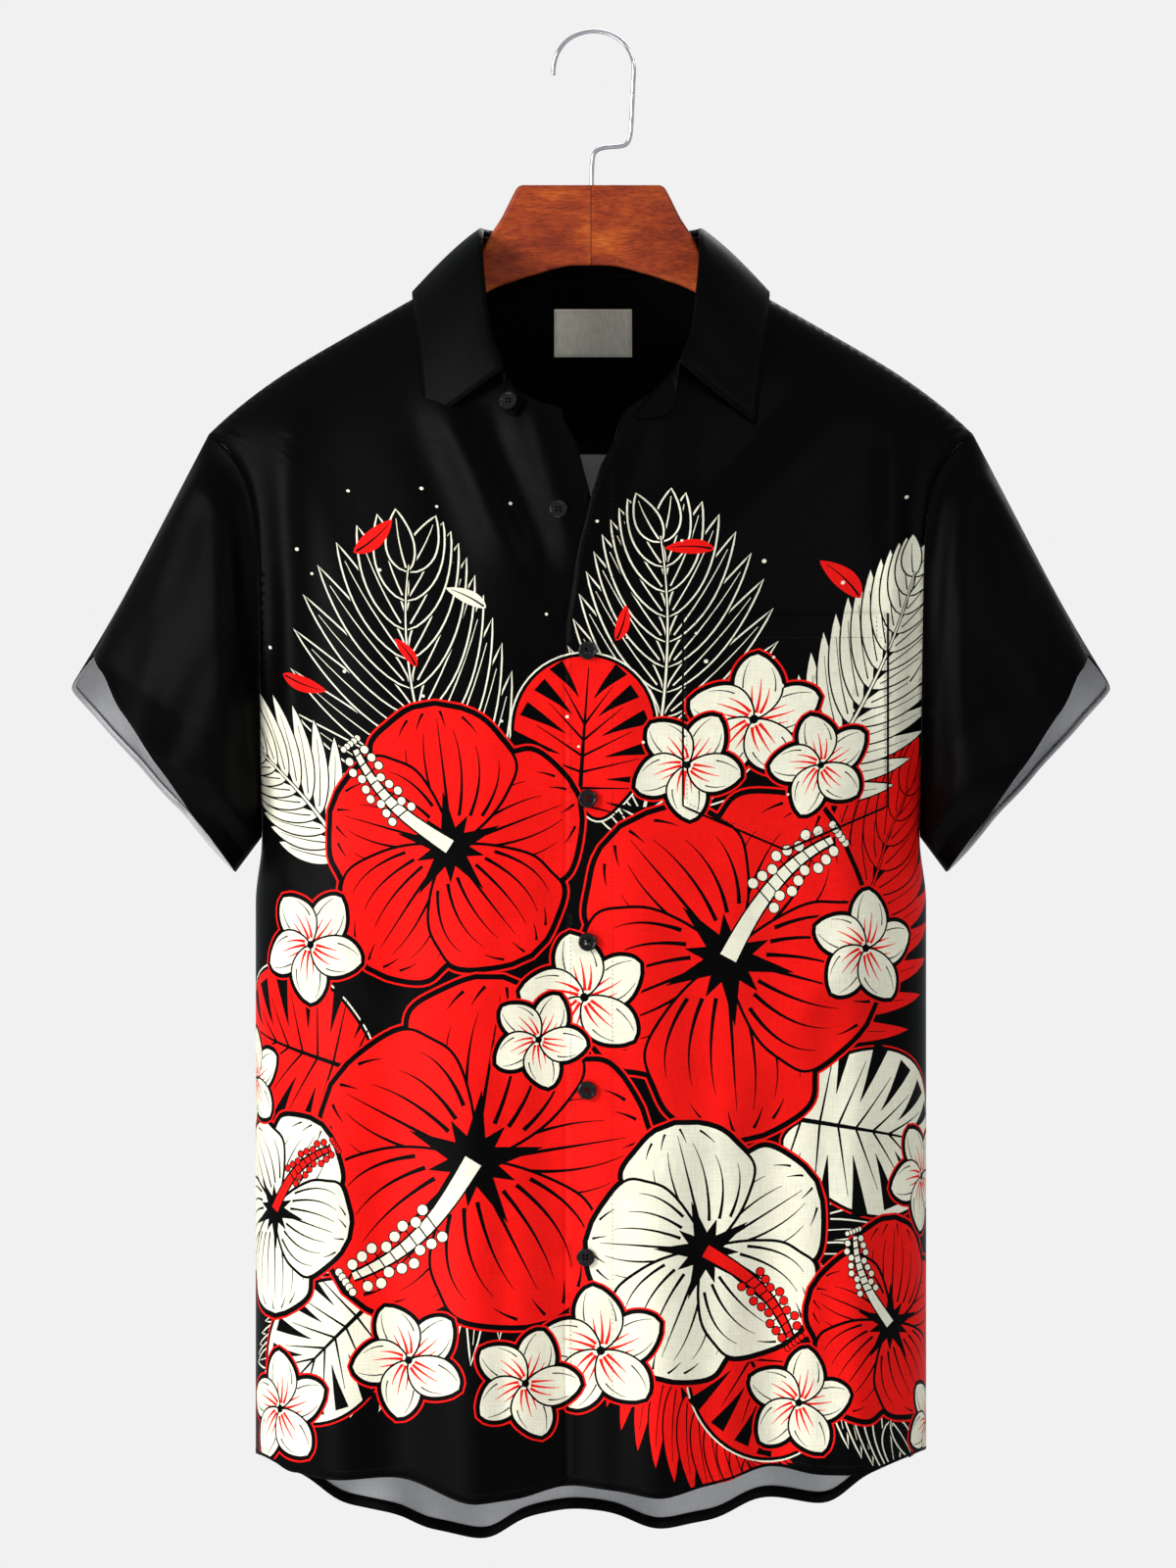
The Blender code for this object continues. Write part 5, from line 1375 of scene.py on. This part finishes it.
def front_hem_row(from_x, to_x):
    x = np.linspace(from_x, to_x, 160)
    return np.stack([x, hem_z(FRONT_FLUTES, x) + HEM_STITCH], axis=-1)


def leaf_edge_row(leaf, inset):
    """Points a little inside the collar leaf's two ends and its long edge."""
    out = normals_of(leaf)
    facing = np.sum(out[-1] * leaf[-1] * np.array([1.0, 1.0, 0.0]))
    out *= -1.0 if facing < 0.0 else 1.0

    def inside(points, directions):
        run = run_length(points)
        place = np.array([inset])
        return at_runs(points, run, place)[0], at_runs(directions, run, place)[0]

    columns = leaf.shape[1]
    margin = 1
    while np.linalg.norm(leaf[-1, margin] - leaf[-1, 0]) < inset:
        margin += 1
    low = [inside(leaf[::-1, j], out[::-1, j]) for j in range(margin, columns - margin)]
    rows = range(LEAF_ROLL_STEPS + 2, leaf.shape[0] - 2)
    first = [inside(leaf[i], out[i]) for i in rows]
    last = [inside(leaf[i, ::-1], out[i, ::-1]) for i in rows]
    points, ways = zip(*first, *low, *last[::-1])
    return np.array(points), unit(np.array(ways))


def on_stand(places, stand):
    """A line of x, z places on the nearest part of the stand's outer side."""
    cloth = stand.reshape(-1, 3)
    front = cloth[(cloth[:, 1] < -30.0) & (cloth[:, 0] > 0.0)]
    apart = np.linalg.norm(front[None, :, ::2] - places[:, None, :], axis=-1)
    weight = 1.0 / np.maximum(apart, 0.4) ** 4
    depth = (weight * front[None, :, 1]).sum(axis=-1) / weight.sum(axis=-1)
    points = np.stack([places[:, 0], depth - 0.25, places[:, 1]], axis=-1)
    return points, np.broadcast_to((0.0, -1.0, 0.0), points.shape)


def pocket_rows():
    """Stitched outline, hem and corner tacks of the pocket."""
    left, right = POCKET_LEFT_X + POCKET_STITCH, POCKET_RIGHT_X - POCKET_STITCH
    top_z, corner_z = POCKET_TOP_Z - 1.0, POCKET_CORNER_Z + POCKET_STITCH
    rows = [[(left, top_z), (left, corner_z), (POCKET_MIDDLE_X, POCKET_TIP_Z + 1.2 * POCKET_STITCH),
             (right, corner_z), (right, top_z)], [(left, POCKET_HEM_Z), (right, POCKET_HEM_Z)]]
    for x in (left + CORNER_TACK, right - CORNER_TACK):
        rows.append([(x, POCKET_TOP_Z - 1.5), (x, POCKET_HEM_Z)])
    return rows


def make_sewing(cloth, leaf, stand):
    """All rows of stitches that show, each on the piece that it holds."""
    thread = cloth["thread"]
    make_stitches("under_front", thread,
                  [sewn_on(front_hem_row(-203.0, -17.0), -1), sewn_on(UNDER_FACING_ROW, -1)])
    make_stitches("tab", thread,
                  [on_stand(along(line, 1.0), stand) for line in (TAB_ROW, *BUTTONHOLE)],
                  TAB_STITCHES)
    low_z = float(hem_z(FRONT_FLUTES, np.array([PLACKET_X]))[0]) + HEM_STITCH
    z = np.linspace(-240.0, -880.0, 120)
    make_stitches("over_front", thread, [
        sewn_on(line, -1, lap_lift) for line in (
            front_hem_row(-14.0, 203.0), [(PLACKET_X, PLACKET_TOP_Z), (PLACKET_X, low_z)],
            np.stack([straight(OVER_EDGE, z) + EDGE_STITCH, z], axis=-1))])
    edge, up, out = (part[4:-4] for part in body_hem(1, HALF_WIDTH, -HALF_WIDTH))
    make_stitches("back", thread,
                  [(edge + up * HEM_STITCH - out * HEM_DEPTH, -out),
                   (edge + up * HEM_STITCH + out * STITCH_ABOVE, out)])
    x = np.linspace(-206.0, 206.0, 160)
    seam = np.stack([x, yoke_seam_z(x) + 2.0], axis=-1)
    make_stitches("yoke", thread, [sewn_on(seam, 1)])
    make_stitches("collar", thread, [leaf_edge_row(leaf, LEAF_STITCH)])
    make_stitches("pocket", thread, [
        sewn_on(row, -1, lap_lift, POCKET_GAP + CLOTH + STITCH_ABOVE) for row in pocket_rows()])
    half_x, half_z = (size / 2.0 - LABEL_STITCH for size in LABEL_SIZE)
    border = [(LABEL_CENTRE[0] + i * half_x, LABEL_CENTRE[1] + k * half_z)
              for i, k in ((-1, 1), (1, 1), (1, -1), (-1, -1), (-1, 1))]
    points, out = sewn_on(border, 1, above=-LABEL_LIFT - 0.12)
    make_stitches("label", cloth["pale_thread"], [(points, -out)], LABEL_STITCHES)


EVEN = (1.0, 1.0, 1.0)
THREAD_PITCH = 0.34
RIB_PITCH = 0.42
CLOTH_ROUGHNESS = (0.36, 0.50)
WOOD_GRAIN = (
    # stretch, detail and roughness of clouds, figure, fibres and pores
    ((16.0, 20.0, 34.0), 4.0, 0.55), ((60.0, 90.0, 190.0), 4.0, 0.6),
    ((150.0, 500.0, 900.0), 3.0, 0.65), ((220.0, 900.0, 1500.0), 2.0, 0.5),
)
WOOD_COLOURS = (
    (0.36, (0.150, 0.016, 0.006)), (0.44, (0.235, 0.029, 0.008)), (0.50, (0.320, 0.044, 0.009)),
    (0.56, (0.420, 0.072, 0.011)), (0.66, (0.560, 0.135, 0.022)),
)
SHADER_VALUES = {"specular": "Specular IOR Level", "sheen": "Sheen Weight",
                 "sheen_roughness": "Sheen Roughness", "metallic": "Metallic"}
SENSOR = 36.0
CAMERA_DISTANCE = 30.0
FRONT_PLANE = 0.04           # the photograph's scale holds this far in front of the hook
VIEW_HEIGHT = 0.96
VIEW_CENTRE = (-0.0018, -0.4596)
LIGHTS = (
    # name, place, aim, size, power
    ("key_light", (-3.0, -1.9, 0.5), (0.0, 0.0, -0.5), (0.9, 1.4), 115.0),
    ("fill_light", (2.4, -2.6, 0.9), (0.0, 0.0, -0.5), (1.2, 1.2), 22.0),
    ("low_light", (-0.9, -1.5, -1.42), (0.0, 0.03, -0.7), (1.4, 0.4), 11.0),
    ("back_light", (0.4, 2.4, 0.8), (0.0, 0.0, -0.5), (1.6, 1.6), 30.0),
)
SURROUND = (
    # colour and strength of the surround, as seen and as it lights the shirt
    ((0.88, 0.88, 0.88, 1.0), 1.0), ((0.9, 0.95, 1.0, 1.0), 0.48),
)
FLOOR_RADIUS = 1.9
FLOOR_Z = -1.5


# Materials
class Finish:
    """A new material, with short ways to add its nodes."""

    def __init__(self, name):
        self.material = bpy.data.materials.new(name)
        self.material.use_nodes = True
        self.tree = self.material.node_tree
        self.shader = self.tree.nodes["Principled BSDF"]

    def fill(self, node, values):
        """Links each socket to another node's output, or sets its number or colour."""
        for socket, value in values.items():
            if isinstance(value, bpy.types.NodeSocket):
                self.tree.links.new(value, node.inputs[socket])
            else:
                node.inputs[socket].default_value = value

    def add(self, kind, output, values, **settings):
        node = self.tree.nodes.new("ShaderNode" + kind)
        for setting, value in settings.items():
            setattr(node, setting, value)
        self.fill(node, values)
        return node.outputs[output]

    def placed(self, scale, turn=(0.0, 0.0, 0.0), flat=False):
        """The place on the piece's own flat cloth, or else in the object, in metres, scaled."""
        if flat:
            where = self.add("UVMap", "UV", {}, uv_map="flat")
        else:
            where = self.add("TexCoord", "Object", {})
        return self.add("Mapping", "Vector", {"Vector": where, "Scale": scale, "Rotation": turn})

    def noise(self, scale, detail=3.0, roughness=0.5, stretch=EVEN, turn=(0.0, 0.0, 0.0),
              flat=False):
        return self.add("TexNoise", "Fac", {"Vector": self.placed(stretch, turn, flat),
                                            "Scale": scale, "Detail": detail,
                                            "Roughness": roughness})

    def ranged(self, value, low, high, from_low=0.3, from_high=0.7):
        return self.add("MapRange", "Result", {"Value": value, "From Min": from_low,
                                               "From Max": from_high, "To Min": low,
                                               "To Max": high})

    def maths(self, operation, first, second=0.0):
        return self.add("Math", "Value", {0: first, 1: second}, operation=operation)

    def blended(self, *parts):
        """Sum of node outputs, each times its share."""
        total = None
        for value, share in parts:
            term = self.maths("MULTIPLY", value, share)
            total = term if total is None else self.maths("ADD", total, term)
        return total

    def along_axis(self, axis, flat=False):
        return self.add("SeparateXYZ", axis, {"Vector": self.placed(EVEN, flat=flat)})

    def waves(self, axis, pitch):
        """Even ripples across the flat cloth, one every two pitches."""
        turns = self.maths("MULTIPLY", self.along_axis(axis, True), math.pi / (pitch * MM))
        return self.maths("SINE", turns)

    def bumped(self, height, strength, distance, below=None):
        values = {"Height": height, "Strength": strength, "Distance": distance}
        if below is not None:
            values["Normal"] = below
        return self.add("Bump", "Normal", values)

    def finished(self, colour, dye, roughness, normal, **plain):
        """Colour times dye, roughness and bump; plain gives the shader's even values."""
        shade = self.add("VectorMath", "Vector", {0: colour, "Scale": dye}, operation="SCALE")
        self.fill(self.shader, {"Base Color": shade, "Roughness": roughness, "Normal": normal})
        self.fill(self.shader, {SHADER_VALUES[name]: value for name, value in plain.items()})
        return self.material


def cloth_material(name, colour=None, specular=0.034, tones=(0.86, 1.14)):
    """Woven cloth: thread bump, slubs, faint crumples and uneven dye. No colour: the print."""
    cloth = Finish(name)
    slub = cloth.noise(1600.0, 2.0, stretch=(1.0, 0.05, 1.0), flat=True)
    cross = cloth.noise(1500.0, 2.0, stretch=(0.05, 1.0, 1.0), flat=True)
    yarn = cloth.blended((slub, 0.5), (cross, 0.5))
    broad = cloth.noise(26.0, 4.0, flat=True)
    crumple = cloth.noise(34.0, 5.0, 0.45, (1.0, 0.55, 1.0), flat=True)
    weave = cloth.maths("MULTIPLY", cloth.waves("X", THREAD_PITCH), cloth.waves("Y", THREAD_PITCH))
    normal = cloth.bumped(crumple, 0.32, 0.0016)
    normal = cloth.bumped(yarn, 0.28, 0.00012, normal)
    normal = cloth.bumped(cloth.ranged(weave, 0.0, 1.0, -1.0, 1.0), 0.5, 0.00007, normal)
    if colour is None:
        colour = cloth.add("VertexColor", "Color", {}, layer_name="print")
    dye = cloth.maths("MULTIPLY", cloth.ranged(yarn, *tones), cloth.ranged(broad, 0.93, 1.07))
    return cloth.finished(colour, dye, cloth.ranged(yarn, *CLOTH_ROUGHNESS), normal,
                          specular=specular, sheen=0.002, sheen_roughness=0.45)


def label_material():
    """Cream satin tape with fine cross ribs."""
    tape = Finish("cream_label_weave")
    warp = tape.noise(1500.0, 2.0, stretch=(1.0, 0.08, 1.0), flat=True)
    mottle = tape.noise(160.0, flat=True)
    dye = tape.maths("MULTIPLY", tape.ranged(warp, 0.86, 1.1), tape.ranged(mottle, 0.94, 1.05))
    normal = tape.bumped(tape.waves("Y", RIB_PITCH), 0.45, 0.00008, tape.bumped(warp, 0.3, 0.0001))
    return tape.finished((0.98, 0.94, 0.77), dye, tape.ranged(warp, 0.48, 0.66), normal,
                         sheen=0.25)


def thread_material(name, colour):
    """Twisted sewing thread."""
    thread = Finish(name)
    twist = thread.noise(2600.0, 2.0)
    return thread.finished(colour, thread.ranged(twist, 0.6, 1.5),
                           thread.ranged(twist, 0.45, 0.7, 0.0, 1.0),
                           thread.bumped(twist, 0.5, 0.0001), specular=0.12)


def wood_material(name, tilt):
    """Red-brown varnished wood: soft orange clouds, fine slanting fibres, dark pores and a
    dark joint in the middle of the hanger."""
    wood = Finish(name)
    cloud, figure, fibre, pores = (
        wood.noise(1.0, detail, roughness, stretch, (0.0, math.radians(tilt), 0.0))
        for stretch, detail, roughness in WOOD_GRAIN)
    ramp = wood.tree.nodes.new("ShaderNodeValToRGB")
    stops = ramp.color_ramp.elements
    for k, (place, colour) in enumerate(WOOD_COLOURS):
        stop = stops[k] if k < 2 else stops.new(place)
        stop.position, stop.color = place, (*colour, 1.0)
    wood.fill(ramp, {"Fac": wood.blended((cloud, 0.50), (figure, 0.27), (fibre, 0.23))})
    from_joint = wood.maths("ABSOLUTE", wood.along_axis("X"))
    shade = wood.maths("MULTIPLY", wood.ranged(from_joint, 0.12, 1.0, 0.0001, 0.0004),
                       wood.ranged(pores, 0.66, 1.04, 0.34, 0.48))
    normal = wood.bumped(figure, 0.10, 0.0010, wood.bumped(pores, 0.2, 0.0003))
    return wood.finished(ramp.outputs["Color"], shade, wood.ranged(fibre, 0.34, 0.5, 0.0, 1.0),
                         normal, specular=0.22)


def chrome_material():
    wire = Finish("bright_chrome_wire")
    drawn = wire.noise(1800.0, 2.0, stretch=(1.0, 1.0, 0.15))
    return wire.finished((0.70, 0.70, 0.72), wire.ranged(wire.noise(240.0), 0.86, 1.1),
                         wire.ranged(drawn, 0.10, 0.24), wire.bumped(drawn, 0.08, 0.0002),
                         metallic=1.0)


def resin_material():
    """Glossy near-black button resin with faint clouds."""
    resin = Finish("black_button_resin")
    fine = resin.noise(2400.0)
    return resin.finished((0.005, 0.005, 0.006), resin.ranged(resin.noise(420.0, 4.0), 0.6, 1.9),
                          resin.ranged(fine, 0.16, 0.34), resin.bumped(fine, 0.06, 0.0002),
                          specular=0.18)


def make_materials():
    return {
        "print": cloth_material("printed_black_cloth"),
        "black": cloth_material("plain_black_cloth", BLACK_DYE),
        "reverse": cloth_material("grey_reverse_cloth", (0.40, 0.40, 0.41), 0.3, (0.9, 1.1)),
        "label": label_material(),
        "thread": thread_material("dark_grey_thread", (0.011, 0.011, 0.012)),
        "pale_thread": thread_material("cream_thread", (0.34, 0.29, 0.19)),
        "resin": resin_material(),
        "chrome": chrome_material(),
        "right_wood": wood_material("red_brown_wood_right", 5.0),
        "left_wood": wood_material("red_brown_wood_left", 21.0),
    }


def make_camera():
    camera = bpy.data.cameras.new("camera")
    camera.sensor_fit = "VERTICAL"
    camera.sensor_height = SENSOR
    camera.lens = SENSOR * (CAMERA_DISTANCE - FRONT_PLANE) / VIEW_HEIGHT
    thing = linked("camera", camera)
    thing.location = (VIEW_CENTRE[0], -CAMERA_DISTANCE, VIEW_CENTRE[1])
    thing.rotation_euler = (math.pi / 2.0, 0.0, 0.0)
    bpy.context.scene.camera = thing


def make_studio():
    """Soft lights, a grey-white surround and a pale floor."""
    world = bpy.data.worlds.new("studio")
    bpy.context.scene.world = world
    world.use_nodes = True
    nodes, links = world.node_tree.nodes, world.node_tree.links
    seen, soft = nodes["Background"], nodes.new("ShaderNodeBackground")
    for background, (colour, strength) in zip((seen, soft), SURROUND):
        background.inputs["Color"].default_value = colour
        background.inputs["Strength"].default_value = strength
    path = nodes.new("ShaderNodeLightPath")
    chosen = nodes.new("ShaderNodeMixShader")
    links.new(path.outputs["Is Camera Ray"], chosen.inputs["Fac"])
    links.new(soft.outputs["Background"], chosen.inputs[1])
    links.new(seen.outputs["Background"], chosen.inputs[2])
    links.new(chosen.outputs["Shader"], nodes["World Output"].inputs["Surface"])
    for name, place, aim, size, power in LIGHTS:
        light = bpy.data.lights.new(name, "AREA")
        light.shape = "RECTANGLE"
        light.size, light.size_y = size
        light.energy = power
        thing = linked(name, light)
        thing.location = place
        thing.rotation_euler = (Vector(aim) - Vector(place)).to_track_quat("-Z", "Y").to_euler()
    bpy.context.scene.view_settings.view_transform = "Standard"
    bpy.ops.object.select_all(action="DESELECT")
    bpy.ops.mesh.primitive_circle_add(vertices=96, radius=FLOOR_RADIUS, fill_type="NGON",
                                      location=(0.0, 0.0, FLOOR_Z))
    floor = bpy.context.object
    floor.name = "floor"
    pale = Finish("pale_floor")
    pale.fill(pale.shader, {"Base Color": (0.8, 0.8, 0.8, 1.0), "Roughness": 0.8})
    floor.data.materials.append(pale.material)


def main():
    make_camera()
    make_studio()
    cloth = make_materials()
    shapes = print_shapes()
    fronts = [cloth["print"], cloth["reverse"]]
    plain = [cloth["black"], cloth["reverse"]]
    black = [cloth["black"]]
    over = make_front("front_left", 1, OVER_TOP, OVER_EDGE, lap_lift, shapes, fronts)
    under = make_front("front_right", -1, UNDER_TOP, UNDER_EDGE, no_lift, shapes, fronts)
    points, flat = back_grid(0, YOKE_STEPS, YOKE_ROWS)
    yoke = make_cloth("yoke", *as_grid(points, flat, flip=True), black)
    facing = make_yoke_facing(points, black)
    points, flat = back_grid(YOKE_STEPS, ARMHOLE_STEPS + SIDE_STEPS, BACK_ROWS)
    back = make_cloth("back", *as_grid(points, flat, flip=True), plain)
    right, left = (make_cloth(node, *as_grid(*sleeve_points(side), True, side > 0), plain)
                   for node, side in (("sleeve_right", -1), ("sleeve_left", 1)))
    stand_grid, leaf_grid = collar_grids()
    stand, leaf = (make_cloth(node, *as_grid(grid, strip_flat(grid), flip=True), black, thickness)
                   for node, grid, thickness in (("collar_stand", stand_grid, STAND_LAYERS),
                                                 ("collar_leaf", leaf_grid, LEAF_LAYERS)))
    hems = make_hems(cloth)
    make_sewing(cloth, leaf_grid, stand_grid)
    make_hook(cloth["chrome"])
    make_bar("hanger_bar_right", -1, cloth["right_wood"])
    make_bar("hanger_bar_left", 1, cloth["left_wood"])
    for number in range(1, 8):
        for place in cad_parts[f"button_{number}"].material_slots:
            place.material = cloth["resin"]
    pocket = make_pocket(shapes, fronts)
    # black strip of painted shadow along the pocket's edge
    pocket_shadow_strip = make_pocket_shadow_strip(cloth["black"])
    label = make_label(cloth["label"])


main()
